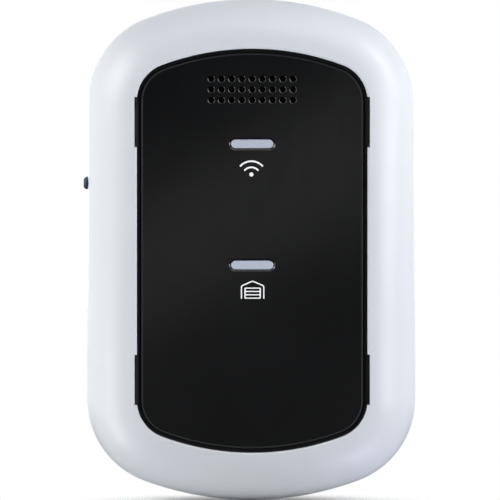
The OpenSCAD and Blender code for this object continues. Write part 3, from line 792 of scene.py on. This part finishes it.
class CONTROLLER_OT_white_ring(bpy.types.Operator):
    """Build the white ring with its skirt, inner edge, lug notches and screw posts"""

    bl_idname = "controller.white_ring"
    bl_label = "White ring"

    def execute(self, context):
        d = shape()
        middle = (d.shoulder_r, d.shoulder_z)
        inner_r = d.shoulder_r - d.wall
        inner_a = degrees(acos((d.ring_w - d.wall - d.shoulder_r) / inner_r))
        section = [(EASE, d.seam_z), (0, d.seam_z + EASE)]
        section += arc(middle, d.shoulder_r, 180, d.edge_a, 40)
        section += arc((d.edge_u, d.edge_z), d.edge_r, d.edge_a, 0, 10)[1:]
        section += [(d.ring_w, d.collar_z), (d.ring_w - d.wall, d.collar_z)]
        section += arc(middle, inner_r, inner_a, 180, 16)
        section += [(d.wall, d.rebate_z), (d.lap, d.rebate_z), (d.lap, d.seam_z)]
        ring = skin([level(outline(d, u), z) for u, z in section], loop=True)

        # the posts end below the ring's outer face
        post_r, cover, pilot_r, pilot_len = 3.2, 0.9, 1.5, 12
        post_x, post_y = d.posts[-1]
        post_u = d.corner_r - hypot(post_x - d.corner_x, post_y - d.corner_y)
        post_top = d.shoulder_z - cover + sqrt(d.shoulder_r ** 2 - (d.shoulder_r - post_u + post_r) ** 2)
        posts = merged(rod(x, y, post_r, d.seam_z, post_top) for x, y in d.posts)
        pilots = merged(rod(x, y, pilot_r, d.rear_h, d.rear_h + pilot_len) for x, y in d.posts)

        half = d.lug_len / 2 + FIT
        x0, x1 = d.side - d.frame_u - PAST, d.side - d.ring_w + d.lug_out + FIT
        notches = []
        for sx, sy in CORNERS:
            (left, right), y = sorted((sx * x0, sx * x1)), sy * d.lug_y
            low = d.rim_z - LUG_T - FIT
            notches.append(box((left, y - half, low), (right, y + half, d.depth + PAST)))

        r, ease, flange_room = d.button_d / 2 + SMALL_GAP, 0.25, 1.3
        profile = [(-PAST, r + 1), (ease, r), (d.wall + PAST, r)]
        hole = lathe(profile, (-d.side, d.button_y, d.button_z), "X")
        profile = [(0, r + flange_room), (d.wall, r + flange_room)]
        room = lathe(profile, (d.wall - d.side, d.button_y, d.button_z), "X")
        ring = carve(ring, [
            ("UNION", posts), ("DIFFERENCE", pilots), ("DIFFERENCE", merged(notches)),
            ("DIFFERENCE", hole), ("DIFFERENCE", room),
        ])
        place(ring, "white_ring", HOUSING, finishes().white, "front_bezel", slot="white_plastic")
        return {"FINISHED"}


def lozenge_cut(w, h, y, rings):
    """A lozenge-shaped cutter, through rings of (growth, height)."""
    return skin([level(at(stadium(w + 2 * g, h + 2 * g), 0, y), z) for g, z in rings])


def terminal_half(d):
    """Half the terminal block's length."""
    return POLES * d.pole_pitch / 2 + TERMINAL_END


class CONTROLLER_OT_rear_shell(bpy.types.Operator):
    """Build the rear half with its wiring bay, keyholes, vents, bosses and standoffs"""

    bl_idname = "controller.rear_shell"
    bl_label = "Rear shell"

    def execute(self, context):
        d = shape()
        c = d.chamfer
        curve = [radians(90 * i / 16) for i in range(17)]
        levels = [(d.back_r * (1 - sin(t)), d.back_r * (1 - cos(t))) for t in curve]
        levels += [(0, d.rear_h - EASE), (EASE, d.rear_h), (d.lap + FIT, d.rear_h)]
        levels += [(d.lap + FIT, d.rear_h + d.lip_h - EASE), (d.lap + FIT + EASE, d.rear_h + d.lip_h)]
        levels += [(d.wall, d.rear_h + d.lip_h), (d.wall, d.floor_t)]
        shell = skin([level(outline(d, u), z) for u, z in levels])
        low = d.floor_t / 2
        edge = [(c + CHAMFER_PAST, -CHAMFER_PAST), (0, c)]
        through = edge + [(0, d.floor_t + PAST)]

        boss_r, stand_r, pocket_t = 4.6, 3.2, 1.6
        bosses = merged(rod(x, y, boss_r, low, d.rear_h) for x, y in d.posts)
        stands = merged(rod(x, y, stand_r, low, d.board_z) for x, y in d.stands)
        keys = [(-d.key_spacing / 2, d.key_y), (d.key_spacing / 2, d.key_y)]
        room = d.key_d / 2 + FLOAT_GAP

        def pocket(x, y, grow, z0, z1):
            reach = room + grow
            return box((x - reach, y - reach, z0), (x + reach, y + d.slot_rise + reach, z1))

        boxes = merged(pocket(x, y, pocket_t, low, d.floor_t + d.pocket_h + pocket_t) for x, y in keys)
        half, wall = d.bay_w / 2, d.bay_wall

        def bay_sides(grow):
            return (1, 0, half + grow), (-1, 0, half + grow), (0, 1, grow - d.bay_top)

        plan = outline(d, d.wall / 2)
        for side in bay_sides(wall):
            plan = clip(plan, *side)
        bay = prism(plan, low, d.bay_h + wall)

        def bay_plan(grow):
            points = outline(d, d.back_r + wall - grow)
            for side in bay_sides(grow):
                points = clip(points, *side)
            return points

        room_bay = prism(bay_plan(0), -PAST, d.bay_h)
        mouth = hull([p for grow, z in edge for p in level(bay_plan(grow), z)])
        exit_half = d.exit_w / 2
        way = box((-exit_half, -d.height, -PAST), (exit_half, -d.bay_top - PAST, d.bay_h))
        way_edge = hull([
            (sx * (exit_half + g), y, z)
            for sx in SIGNS for y in (-d.height, -d.bay_top - 3 * PAST) for g, z in edge
        ])
        windows = []
        for x, reach, high in ((d.terminal_x, terminal_half(d), TERMINAL_H), (d.jack_x, INLET_HALF, INLET_H)):
            reach, z = reach + FIT, d.board_z - high - FIT
            y0, y1 = -d.bay_top - PAST, wall - d.bay_top + PAST
            windows.append(box((x - reach, y0, z), (x + reach, y1, d.depth)))

        sink_r, sink_z, shank_r, pilot_r, pilot_len, vent_count = 3.05, 5, 1.65, 1.25, 8, 7
        sinks, pilots, key_cuts, vents = [], [], [], []
        for x, y in d.posts:
            sinks.append(lathe([(z, sink_r + g) for g, z in edge] + [(sink_z, sink_r)], (x, y, 0)))
            pilots.append(rod(x, y, shank_r, sink_z - PAST, d.rear_h + PAST))
        for x, y in d.stands:
            pilots.append(rod(x, y, pilot_r, d.board_z - pilot_len, d.board_z + PAST))
        for x, y in keys:
            key_cuts.append(skin([level(at(keyhole(d, g), x, y), z) for g, z in through]))
        for i in range(vent_count):
            y = -d.vent_y + (i - vent_count // 2) * d.vent_pitch
            vents.append(lozenge_cut(d.vent_w, d.vent_h, y, through))
        shell = carve(shell, [
            ("UNION", bosses), ("UNION", stands), ("UNION", boxes), ("UNION", bay),
            ("DIFFERENCE", merged(sinks)), ("DIFFERENCE", merged(pilots)),
            ("DIFFERENCE", merged(pocket(x, y, 0, d.floor_t, d.floor_t + d.pocket_h) for x, y in keys)),
            ("DIFFERENCE", merged(key_cuts)), ("DIFFERENCE", merged(vents)),
            ("DIFFERENCE", room_bay), ("DIFFERENCE", mouth), ("DIFFERENCE", way), ("DIFFERENCE", way_edge),
            ("DIFFERENCE", merged(windows)),
        ])
        place(shell, "rear_shell", HOUSING, finishes().white, "rear_cover", slot="white_plastic")
        return {"FINISHED"}


def windows_at(d):
    """The two light windows, as their names and heights on the face."""
    return (("network", d.network_y), ("door", d.door_y))


def grille_size(d):
    """Width and height of the block of sound holes."""
    return 8 * d.column_pitch + d.hole_d, 2 * d.row_pitch + d.hole_d


class CONTROLLER_OT_face_tray(bpy.types.Operator):
    """Build the black tray with its rim, side lugs and snap hooks"""

    bl_idname = "controller.face_tray"
    bl_label = "Face tray"

    def execute(self, context):
        d = shape()
        r, skirt_in = 0.25, 1.6
        inner = d.plate_u - FIT
        levels = [(d.frame_u + skirt_in, d.tray_z), (d.frame_u + skirt_in, d.skirt_z), (d.frame_u, d.skirt_z)]
        levels += arc((d.frame_u + r, d.rim_z - r), r, 180, 90, 6)
        levels += arc((inner - r, d.rim_z - r), r, 90, 0, 6)
        levels += [(inner, d.tray_top)]
        tray = skin([level(outline(d, u), z) for u, z in levels])
        x0 = d.side - d.frame_u
        low, out = d.rim_z - LUG_T, x0 + d.lug_out + FIT
        root, lug_rise = x0 - 0.5, 0.4
        lug = [(root, low), (out, low), (out, d.rim_z + lug_rise), (root, d.rim_z)]
        hook_out, hook_top, hook_y, hook_len = x0 + 1.1, d.collar_z - FIT, 18, 10
        hook = [
            (root, d.skirt_z), (x0 + EASE, d.skirt_z), (hook_out, hook_top - 0.5), (hook_out, hook_top),
            (root, hook_top),
        ]
        grips = []
        for points, y, length in ((lug, d.lug_y, d.lug_len), (hook, hook_y, hook_len)):
            for sx, sy in CORNERS:
                ends = (sy * y - length / 2, sy * y + length / 2)
                grips.append(skin([[(sx * px, e, pz) for px, pz in points] for e in ends]))
        cuts = []
        for _, y in windows_at(d):
            cuts.append(prism(at(stadium(d.light_w + 2 * FIT, d.light_h + 2 * FIT), 0, y), 0, d.depth))
        w, h = grille_size(d)
        cloth_edge, cloth_t, window_r = 1.2, 0.4, 0.6
        cuts.append(prism(at(round_box(w, h, window_r), 0, d.grille_y), 0, d.depth))
        x, y = w / 2 + cloth_edge + FIT, h / 2 + cloth_edge + FIT
        seat = box((-x, d.grille_y - y, d.tray_top - cloth_t), (x, d.grille_y + y, d.depth))

        # two small nicks in each lug, where the mould let go
        nick_in, nick_half, nick_end, nick_deep = 0.3, 0.65, 2.2, 0.6
        nicks = []
        for sx, end in CORNERS:
            for sy in SIGNS:
                left, right = sorted((sx * (x0 + nick_in), sx * (out + PAST)))
                y, z = end * d.lug_y + sy * (d.lug_len / 2 - nick_end), d.rim_z - nick_deep
                nicks.append(box((left, y - nick_half, z), (right, y + nick_half, d.depth)))
        tray = carve(tray, [
            ("UNION", merged(grips)), ("DIFFERENCE", merged(nicks)), ("DIFFERENCE", merged(cuts)),
            ("DIFFERENCE", seat),
        ])
        place(tray, "face_tray", HOUSING, finishes().tray, "face_frame", slot="black_plastic")
        return {"FINISHED"}


class CONTROLLER_OT_gloss_panel(bpy.types.Operator):
    """Build the gloss black panel with its sound holes and light windows"""

    bl_idname = "controller.gloss_panel"
    bl_label = "Gloss panel"

    def execute(self, context):
        d = shape()
        e = d.plate_edge
        levels = [(d.plate_u, d.tray_top), (d.plate_u, d.plate_z - e * BEVEL), (d.plate_u + e, d.plate_z)]
        panel = skin([level(outline(d, u), z) for u, z in levels])
        r, c = d.hole_d / 2, d.hole_edge
        holes = []
        for i in range(9):
            for j in range(3):
                x, y = (i - 4) * d.column_pitch, d.grille_y + (j - 1) * d.row_pitch
                profile = [(d.tray_top - PAST, r), (d.plate_z - c * BEVEL, r), (d.plate_z + BEVEL, r + c + 1)]
                holes.append(lathe(profile, (x, y, 0), n=32))
        k = d.light_edge
        rings = [(0, d.tray_top - PAST), (0, d.plate_z - WINDOW_BEVEL * k), (k + 1, d.plate_z + WINDOW_BEVEL)]
        for _, y in windows_at(d):
            holes.append(lozenge_cut(d.light_w + 2 * FIT, d.light_h + 2 * FIT, y, rings))
        panel = carve(panel, [("DIFFERENCE", merged(holes))])
        place(panel, "gloss_panel", HOUSING, finishes().gloss, "face_plate", slot="gloss_black")
        return {"FINISHED"}


class CONTROLLER_OT_light_windows(bpy.types.Operator):
    """Build the two milky light windows"""

    bl_idname = "controller.light_windows"
    bl_label = "Light windows"

    def execute(self, context):
        d = shape()
        top, r, inset = d.plate_z - 0.05, 0.5, 0.08
        flange_w, flange_z = 1.6, d.tray_z - 1.2
        stem_w, stem_h, stem_z = -2, -0.4, d.board_top + 1.5
        foot = [(stem_w, stem_h, stem_z), (stem_w, stem_h, flange_z)]
        foot += [(flange_w, flange_w, flange_z), (flange_w, flange_w, d.tray_z)]
        foot += [(0, 0, d.tray_z), (0, 0, d.tray_top)]
        turns = [radians(90 * i / 8) for i in range(9)]
        edge = [(-inset - 2 * r * (1 - cos(t)), top - r + r * sin(t)) for t in turns]
        for name, y in windows_at(d):
            steps = foot + [(g, g, z) for g, z in edge]
            window = skin([level(at(stadium(d.light_w + w, d.light_h + h), 0, y), z) for w, h, z in steps])
            node = f"{name}_light_guide"
            place(window, f"{name}_window", HOUSING, finishes().milk, node, slot="light_guide")
        return {"FINISHED"}


class CONTROLLER_OT_panel_marks(bpy.types.Operator):
    """Print the radio mark and the garage mark on the panel"""

    bl_idname = "controller.panel_marks"
    bl_label = "Panel marks"

    def execute(self, context):
        d = shape()
        sunk = 0.005
        z0, z1 = d.plate_z - sunk, d.plate_z + d.ink_t

        # two arcs over a dot
        x, middle = -0.26, d.network_y - 10.1
        stroke, dot_r, dot_y = 0.51, 0.63, middle + 0.6
        waves = [ribbon(arc((x, middle), r, 136, 44, 28), stroke, z0, z1) for r in (4.73, 2.84)]
        dot = prism(at(circle(dot_r, 32), x, dot_y), z0, z1)
        place(merged(waves + [dot]), "radio_mark", HOUSING, finishes().ink, slot="white_plastic")

        # a gable with rounded eaves, over a door of three slots
        x, base, peak = 0.12, d.door_y - 10.3, d.door_y - 4.98
        leg, r, slope, stroke = 3.48, 0.75, radians(23.4), 0.36
        eave = peak - (leg - r + r * sin(slope)) * tan(slope) - r * cos(slope)
        side = [(-leg, base)] + arc((r - leg, eave), r, 180, 90 + degrees(slope), 8)
        side += [(-0.3, peak - 0.3 * tan(slope)), (-0.12, peak - 0.075), (0, peak - 0.06)]
        roof = side + [(-px, py) for px, py in side[-2::-1]]
        gable = ribbon(at(roof, x, 0), stroke, z0, z1)
        bar, step, y = 0.32, 1.04, d.door_y - 8.72
        door_w, door_r, slot_w = 5.13, 0.3, 4.45
        door = prism(at(round_box(door_w, 3 * step + bar, door_r), x, y), z0, z1)
        slot = stadium(slot_w, step - bar, 8)
        slots = [prism(at(slot, x, y + k * step), z0 - PAST, z1 + PAST) for k in (-1, 0, 1)]
        door = carve(door, [("DIFFERENCE", merged(slots))])
        place(merged([gable, door]), "garage_mark", HOUSING, finishes().ink, slot="white_plastic")
        return {"FINISHED"}


class CONTROLLER_OT_side_button(bpy.types.Operator):
    """Turn the dark blue side button"""

    bl_idname = "controller.side_button"
    bl_label = "Side button"

    def execute(self, context):
        d = shape()
        r, c = d.button_d / 2, 0.65
        foot = d.button_out + d.wall + FLOAT_GAP
        profile = [(0.1, 0), (0.09, 0.5), (0.04, 0.95), (0, r - c - 0.12), (0.04, r - c + 0.02)]
        profile += [(c - 0.08, r - 0.1), (c + 0.06, r - 0.02), (c + 0.2, r), (foot, r)]
        flange_r, flange_t, stud_r, break_w = r + 1.2, 0.8, 1.3, 0.1
        profile += [(foot, flange_r - break_w), (foot + break_w, flange_r)]
        profile += [(foot + flange_t - break_w, flange_r), (foot + flange_t, flange_r - break_w)]
        profile += [(foot + flange_t, stud_r), (foot + 1.3, stud_r), (foot + 1.4, stud_r - break_w)]
        button = lathe(profile, (-d.side - d.button_out, d.button_y, d.button_z), "X", 64)
        place(button, "side_button", SIDE_BUTTON, finishes().navy, "program_button", slot="navy_plastic")
        return {"FINISHED"}


def pole_x(d, i):
    """Place of a terminal pole, counted from 1."""
    return d.terminal_x + (i - (POLES + 1) / 2) * d.pole_pitch


class CONTROLLER_OT_terminals(bpy.types.Operator):
    """Build the push-in terminal block and its six release levers"""

    bl_idname = "controller.terminals"
    bl_label = "Terminals"

    def execute(self, context):
        d = shape()
        low, half, front, long = d.board_z - TERMINAL_H, terminal_half(d), -d.bay_top, 12
        lever_w, lever_h, lever_out = 1.6, 1.3, 1.15
        entry_z, release_z = low + 3, d.bay_h - FLOAT_GAP - lever_h
        block = box((d.terminal_x - half, front, low), (d.terminal_x + half, front + long, d.board_z), 0.35)
        turn = ((-1, -1), (1, -1), (1, 1), (-1, 1))
        entries, rooms, legs, slots = [], [], [], []
        for i in range(1, POLES + 1):
            x = pole_x(d, i)

            def ring(reach, y):
                return [(x + sx * reach, y, entry_z + sz * reach) for sx, sz in turn]

            entries.append(skin([ring(2.4, front - 0.5), ring(1.3, front + 0.8), ring(1.3, front + 3.5)]))
            rooms.append(box((x - 1.8, front + 3, entry_z - 1.8), (x + 1.8, front + 9.4, entry_z + 1.8)))
            legs.append(box((x - 0.55, front + 8.45, entry_z), (x + 0.55, front + 9.55, d.board_z + 1)))
            slots.append(box((x - 1.8, front - 1, release_z - 1.5), (x + 1.8, front + 7.1, release_z + 1.5)))
        block = carve(block, [("DIFFERENCE", merged(group)) for group in (entries, rooms, legs, slots)])
        done = finishes()
        place(block, "terminal_housing", HOUSING, done.terminal, "terminal_block", slot="grey_plastic")
        for i in range(1, POLES + 1):
            x = pole_x(d, i)
            a = (x - lever_w, front - lever_out, release_z - lever_h)
            lever = box(a, (x + lever_w, front + 5.9, release_z + lever_h), 0.25)
            nick = hull([
                (x + sx * 3, front - lever_out + y, release_z + sz * h)
                for sx, sz in CORNERS for y, h in ((-0.2, 0.5), (0.4, 0.25))
            ])
            lever = carve(lever, [("DIFFERENCE", nick)])
            node = f"release_button_{i}"
            place(lever, f"release_lever_{i}", f"release_{i}", done.lever, node, slot="orange_plastic")
        return {"FINISHED"}


class CONTROLLER_OT_power_inlet(bpy.types.Operator):
    """Build the barrel inlet and its centre pin"""

    bl_idname = "controller.power_inlet"
    bl_label = "Power inlet"

    def execute(self, context):
        d = shape()
        front, z = -d.bay_top, d.board_z - 7.6
        long, r, pin_r, pin_len = 14, 3.15, 1.0, 8.3
        a = (d.jack_x - INLET_HALF, front, d.board_z - INLET_H)
        body = box(a, (d.jack_x + INLET_HALF, front + long, d.board_z), 0.45)
        # the axis runs down into the bay, so it is measured from the mouth's floor
        mouth = lathe([(0, r), (9.6, r), (10.5, r + 0.9)], (d.jack_x, front + 10, z), "-Y", 64)
        seat = lathe([(-2.65, 1.55), (1, 1.55)], (d.jack_x, front + 10, z), "-Y")
        body = carve(body, [("DIFFERENCE", mouth), ("DIFFERENCE", seat)])
        done = finishes()
        place(body, "inlet_body", HOUSING, done.part, "dc_jack", slot="black_part")
        pin = [(-2.6, 1.4), (-2.5, 1.5), (-0.1, 1.5), (0, 1.4), (0, pin_r), (pin_len, pin_r)]
        for t in [radians(15 * k) for k in range(1, 7)]:
            pin.append((pin_len + 0.5 * sin(t), 0.6 + 0.4 * cos(t)))
        pin += [(8.8, 0.3), (8.75, 0.2), (8.7, 0.02)]
        pin = lathe(pin, (d.jack_x, front + 10, z), "-Y")
        place(pin, "inlet_pin", HOUSING, done.brass, "jack_pin", slot="brass")
        return {"FINISHED"}


class CONTROLLER_OT_case_screws(bpy.types.Operator):
    """Turn the four case screws with their cross recesses"""

    bl_idname = "controller.case_screws"
    bl_label = "Case screws"

    def execute(self, context):
        d = shape()
        screws = []
        for x, y in d.posts:
            head, r, groove, threads = 2.75, 1.45, 0.22, 20
            profile = [(3.0, 1.2), (3.05, 1.9), (3.25, 2.4), (3.6, 2.68), (4.0, head), (4.85, head)]
            profile += [(5, head - 0.12), (5, r)]
            for i in range(threads):
                profile += [(6.0 + i, r), (6.3 + i, r - groove), (6.7 + i, r - groove)]
            profile += [(26.0, r - 0.1), (26.8, 0.5), (27.0, 0.05)]
            screw = lathe(profile, (x, y, 0), n=40)
            arms = []
            for turn in (0, 1):
                points = []
                for reach, half, z in ((1.75, 0.42, 2.9), (1.2, 0.3, 3.9)):
                    for sx, sy in CORNERS:
                        p = (sx * reach, sy * half)
                        p = p if turn == 0 else (-p[1], p[0])
                        points.append((x + p[0], y + p[1], z))
                arms.append(("DIFFERENCE", hull(points)))
            screws.append(carve(screw, arms))
        place(merged(screws), "case_screw_set", HOUSING, finishes().steel, "case_screws", slot="steel")
        return {"FINISHED"}


class CONTROLLER_OT_inner_parts(bpy.types.Operator):
    """Dress the parts inside the housing that keep their frame shapes"""

    bl_idname = "controller.inner_parts"
    bl_label = "Inner parts"

    def execute(self, context):
        done = finishes()
        dress = {
            "grille_cloth": done.cloth, "switch_plunger": done.part, "tact_switch": done.terminal,
            "main_board": done.board, "control_chip": done.part, "wireless_module": done.board,
            "wireless_shield": done.steel, "door_relays": done.relay, "sounder": done.part,
            "sounder_diaphragm": done.cone, "sounder_gasket": done.foam, "status_leds": done.lamp,
            "alert_leds": done.lamp, "capacitors": done.can, "power_inductor": done.part,
            "terminal_contacts": done.steel, "board_screws": done.steel,
        }
        for name, material in dress.items():
            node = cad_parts[name]
            if not node.material_slots:
                node.data.materials.append(material)
            for slot in node.material_slots:
                slot.material = material
        return {"FINISHED"}


# Stage.


def soft_box(name, off, around, power, tint=(1, 1, 1), away=0.6, wide=0.27, tall=0.27):
    """A soft light, placed by its angle off the face's axis and its angle around it."""
    light = bpy.data.lights.new(name, "AREA")
    light.shape = "RECTANGLE"
    light.size = wide
    light.size_y = tall
    light.energy = power
    light.color = tint
    lamp = bpy.data.objects.new(name, light)
    off, around = radians(off), radians(around)
    ray = Vector((sin(off) * cos(around), -cos(off), sin(off) * sin(around)))
    middle = Vector((0, -0.03, 0))
    lamp.location = middle + away * ray
    lamp.rotation_euler = (-ray).to_track_quat("-Z", "Y").to_euler()
    lamp.visible_camera = False
    bpy.context.scene.collection.objects.link(lamp)


def seen_directly(tree):
    """1 for camera, mirror and clear rays, which see the plain white background."""
    path = tree.nodes.new("ShaderNodeLightPath").outputs
    seen = maths(tree, "MAXIMUM", path["Is Camera Ray"], path["Is Glossy Ray"])
    return maths(tree, "MAXIMUM", seen, path["Is Transmission Ray"])


def unlit(name):
    """A material with no shader yet, as its tree and the socket that takes one."""
    material, tree, _ = blank(name)
    tree.nodes.remove(tree.nodes["Principled BSDF"])
    return material, tree, tree.nodes["Material Output"].inputs["Surface"]


def glowing(name):
    """A material with an emission shader alone, as its tree and that shader's strength."""
    material, tree, out = unlit(name)
    glow = tree.nodes.new("ShaderNodeEmission")
    tree.links.new(glow.outputs["Emission"], out)
    return material, tree, glow.inputs["Strength"]


def floor_disc():
    """A small pale floor under the object that takes its shadow and fades out into the white."""
    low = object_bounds()[0][2] - 0.5 * MM
    wide, deep, middle_y, n, steps = 0.062, 0.045, -0.02, 64, 10
    bm = bmesh.new()
    rings = []
    for k in range(1, steps + 1):
        points = [(wide * x, middle_y + deep * y, low) for x, y in circle(k / steps, n)]
        rings.append([bm.verts.new(p) for p in points])
    bm.faces.new(rings[0])
    for a, b in zip(rings, rings[1:]):
        for i in range(n):
            j = (i + 1) % n
            bm.faces.new((a[i], b[i], b[j], a[j]))
    floor = as_object(bm, "floor")
    material, tree, out = unlit("pale_floor")
    coords = coordinates(tree)
    oval = tree.nodes.new("ShaderNodeMapping")
    oval.vector_type = "TEXTURE"
    oval.inputs["Location"].default_value = (0, middle_y, low)
    oval.inputs["Scale"].default_value = (wide, deep, 1)
    tree.links.new(coords, oval.inputs["Vector"])
    away = tree.nodes.new("ShaderNodeVectorMath")
    away.operation = "LENGTH"
    tree.links.new(oval.outputs["Vector"], away.inputs[0])
    fade = spread(tree, away.outputs["Value"], 0.2, 0.95)
    matt = tree.nodes.new("ShaderNodeBsdfDiffuse")
    tone = noise(tree, coords, 30.0)
    tree.links.new(blend_colour(tree, tone, (0.9, 0.9, 0.9), (0.93, 0.93, 0.93)), matt.inputs["Color"])
    clear = tree.nodes.new("ShaderNodeBsdfTransparent")
    mix = tree.nodes.new("ShaderNodeMixShader")
    tree.links.new(fade, mix.inputs["Fac"])
    tree.links.new(matt.outputs["BSDF"], mix.inputs[1])
    tree.links.new(clear.outputs["BSDF"], mix.inputs[2])
    tree.links.new(mix.outputs["Shader"], out)
    floor.data.materials.append(material)
    floor.visible_glossy = False
    floor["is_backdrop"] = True


def flat_card(name, middle, across, up, n=16):
    """A card of n by n quads that reaches from its middle by two half edges."""
    bm = bmesh.new()
    steps = [2 * i / n - 1 for i in range(n + 1)]
    rows = [[bm.verts.new(Vector(middle) + u * Vector(across) + v * Vector(up)) for u in steps] for v in steps]
    for low, high in zip(rows, rows[1:]):
        for i in range(n):
            bm.faces.new((low[i], low[i + 1], high[i + 1], high[i]))
    return as_object(bm, name)


def mirror_card(card, material):
    """Dresses a card and keeps it out of everything but reflections."""
    card.data.materials.append(material)
    card.visible_camera = False
    card.visible_diffuse = False
    card.visible_transmission = False
    card.visible_shadow = False
    card.visible_volume_scatter = False
    card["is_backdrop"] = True


def front_flag():
    """A large dim card before the object: its soft diagonal band is the sheen in the gloss panel."""
    away, half = 1.5, 1.5
    card = flat_card("front_flag", (0, -away, 0), (half, 0, 0), (0, 0, half))
    material, tree, strength = glowing("dim_card")

    # the panel mirrors the card, so a place on the panel is spread out on the card
    d = shape()
    eye = bpy.context.scene.camera.matrix_world.translation
    plate_y = -d.plate_z * MM
    share = (away + plate_y) / (plate_y - eye.y)
    tilt, rise, reach = radians(28.6), 0.0142, 0.12
    across = Vector((-sin(tilt), 0, cos(tilt)))
    band = rise * (1 + share) - share * across.dot(eye)
    side = tree.nodes.new("ShaderNodeVectorMath")
    side.operation = "DOT_PRODUCT"
    side.inputs[1].default_value = across
    tree.links.new(coordinates(tree), side.inputs[0])
    ramp = tree.nodes.new("ShaderNodeFloatCurve")
    low, high = band - reach, band + reach
    tree.links.new(spread(tree, side.outputs["Value"], low, high, kind="LINEAR"), ramp.inputs["Value"])
    points = ramp.mapping.curves[0].points
    points[0].location, points[1].location = (0.0, 0.125), (0.24, 0.13)
    for x, y in ((0.5, 0.36), (0.72, 0.09), (1.0, 0.075)):
        points.new(x, y)
    ramp.mapping.update()
    tree.links.new(ramp.outputs["Value"], strength)
    mirror_card(card, material)


def top_card():
    """A small bright card above the object, which the lower edges of the window openings mirror."""
    off, away, half_w, half_h = radians(66), 0.5, 0.15, 0.045
    face = Vector((0, -0.035, 0.015))
    ray = Vector((0, -cos(off), sin(off)))
    up = half_h * Vector((0, -sin(off), -cos(off)))
    card = flat_card("top_card", face + away * ray, (half_w, 0, 0), up)
    material, tree, strength = glowing("bright_card")
    clouds = noise(tree, coordinates(tree), 30.0)
    tree.links.new(spread(tree, clouds, 0.0, 1.0, 1.3, 1.7), strength)
    mirror_card(card, material)


def low_flag():
    """A dark card below the object, which keeps the edges that face down dark."""
    card = flat_card("low_flag", (0, 0, -0.2), (1, 0, 0), (0, 1, 0))
    mirror_card(card, finish("dark_card", (0.02, 0.02, 0.021), (0.85, 0.95), 1.2, 60.0, 0.1, 8.0))


class CONTROLLER_OT_stage(bpy.types.Operator):
    """Set up the camera, the soft lights, the white surroundings and the pale floor"""

    bl_idname = "controller.stage"
    bl_label = "Stage"

    def execute(self, context):
        scene = context.scene
        studio = scene.controller_studio
        scene.view_settings.view_transform = "Standard"

        lens = bpy.data.cameras.new("camera")
        lens.lens = lens.sensor_width * studio.distance / studio.frame_w
        lens.clip_end = 10
        camera = bpy.data.objects.new("camera", lens)
        turn = Matrix.Rotation(studio.swing, 4, "Z") @ Matrix.Rotation(-studio.rise, 4, "X")
        aim = Vector((0, -0.0265, 0))
        camera.matrix_world = (
            Matrix.Translation(aim) @ turn
            @ Matrix.Translation((-studio.aside, -studio.distance, studio.lower))
            @ Matrix.Rotation(radians(90), 4, "X")
        )
        scene.collection.objects.link(camera)
        scene.camera = camera

        world = bpy.data.worlds.new("white surroundings")
        scene.world = world
        world.use_nodes = True
        tree = world.node_tree
        back = tree.nodes["Background"]
        back.inputs["Color"].default_value = (1, 1, 1, 1)
        strength = spread(tree, seen_directly(tree), 0.0, 1.0, studio.ambient, 1.0, "LINEAR")
        tree.links.new(strength, back.inputs["Strength"])

        warm, cool, cold, near = (1.0, 0.965, 0.93), (0.95, 0.955, 1.0), (0.79, 0.855, 1.0), 0.28
        soft_box("right box", 55, 0, studio.right, warm)
        soft_box("upper left box", 55, 150, studio.upper_left, cool)
        soft_box("low box", 70, 300, studio.low, cold)
        soft_box("near upper left box", 75, 150, studio.near_upper_left, away=near, wide=0.126, tall=0.21)
        soft_box("near lower left box", 75, 210, studio.near_lower_left, away=near, wide=0.1, tall=0.21)
        soft_box("near right box", 75, 30, studio.near_right, away=near, wide=0.05)
        soft_box("near top box", 75, 60, studio.near_top, cold, away=near, wide=0.2, tall=0.2)
        soft_box("back box left", 160, 150, studio.back)
        soft_box("back box right", 160, 30, studio.back)

        floor_disc()
        front_flag()
        low_flag()
        top_card()
        return {"FINISHED"}


# Sidebar and registration.


STEPS = (
    CONTROLLER_OT_white_ring, CONTROLLER_OT_rear_shell, CONTROLLER_OT_face_tray, CONTROLLER_OT_gloss_panel,
    CONTROLLER_OT_light_windows, CONTROLLER_OT_panel_marks, CONTROLLER_OT_side_button, CONTROLLER_OT_terminals,
    CONTROLLER_OT_power_inlet, CONTROLLER_OT_case_screws, CONTROLLER_OT_inner_parts, CONTROLLER_OT_stage,
)

GROUPS = {
    "controller_housing": HousingSizes, "controller_face": FaceSizes, "controller_back": BackSizes,
    "controller_finishes": Finishes, "controller_studio": Studio,
}


class CONTROLLER_PT_build(bpy.types.Panel):
    """Lists the controller's pieces"""

    bl_label = "Controller"
    bl_idname = "CONTROLLER_PT_build"
    bl_space_type = "VIEW_3D"
    bl_region_type = "UI"
    bl_category = "Controller"

    def draw(self, context):
        for step in STEPS:
            self.layout.operator(step.bl_idname)


def register():
    for kind in (*GROUPS.values(), *STEPS, CONTROLLER_PT_build):
        bpy.utils.register_class(kind)
    for name, kind in GROUPS.items():
        setattr(bpy.types.Scene, name, bpy.props.PointerProperty(type=kind))


def unregister():
    for name in GROUPS:
        delattr(bpy.types.Scene, name)
    for kind in (CONTROLLER_PT_build, *reversed(STEPS), *reversed(GROUPS.values())):
        bpy.utils.unregister_class(kind)


def main():
    register()
    for step in STEPS:
        getattr(bpy.ops.controller, step.bl_idname.split(".")[1])()


if __name__ == "__main__":
    main()
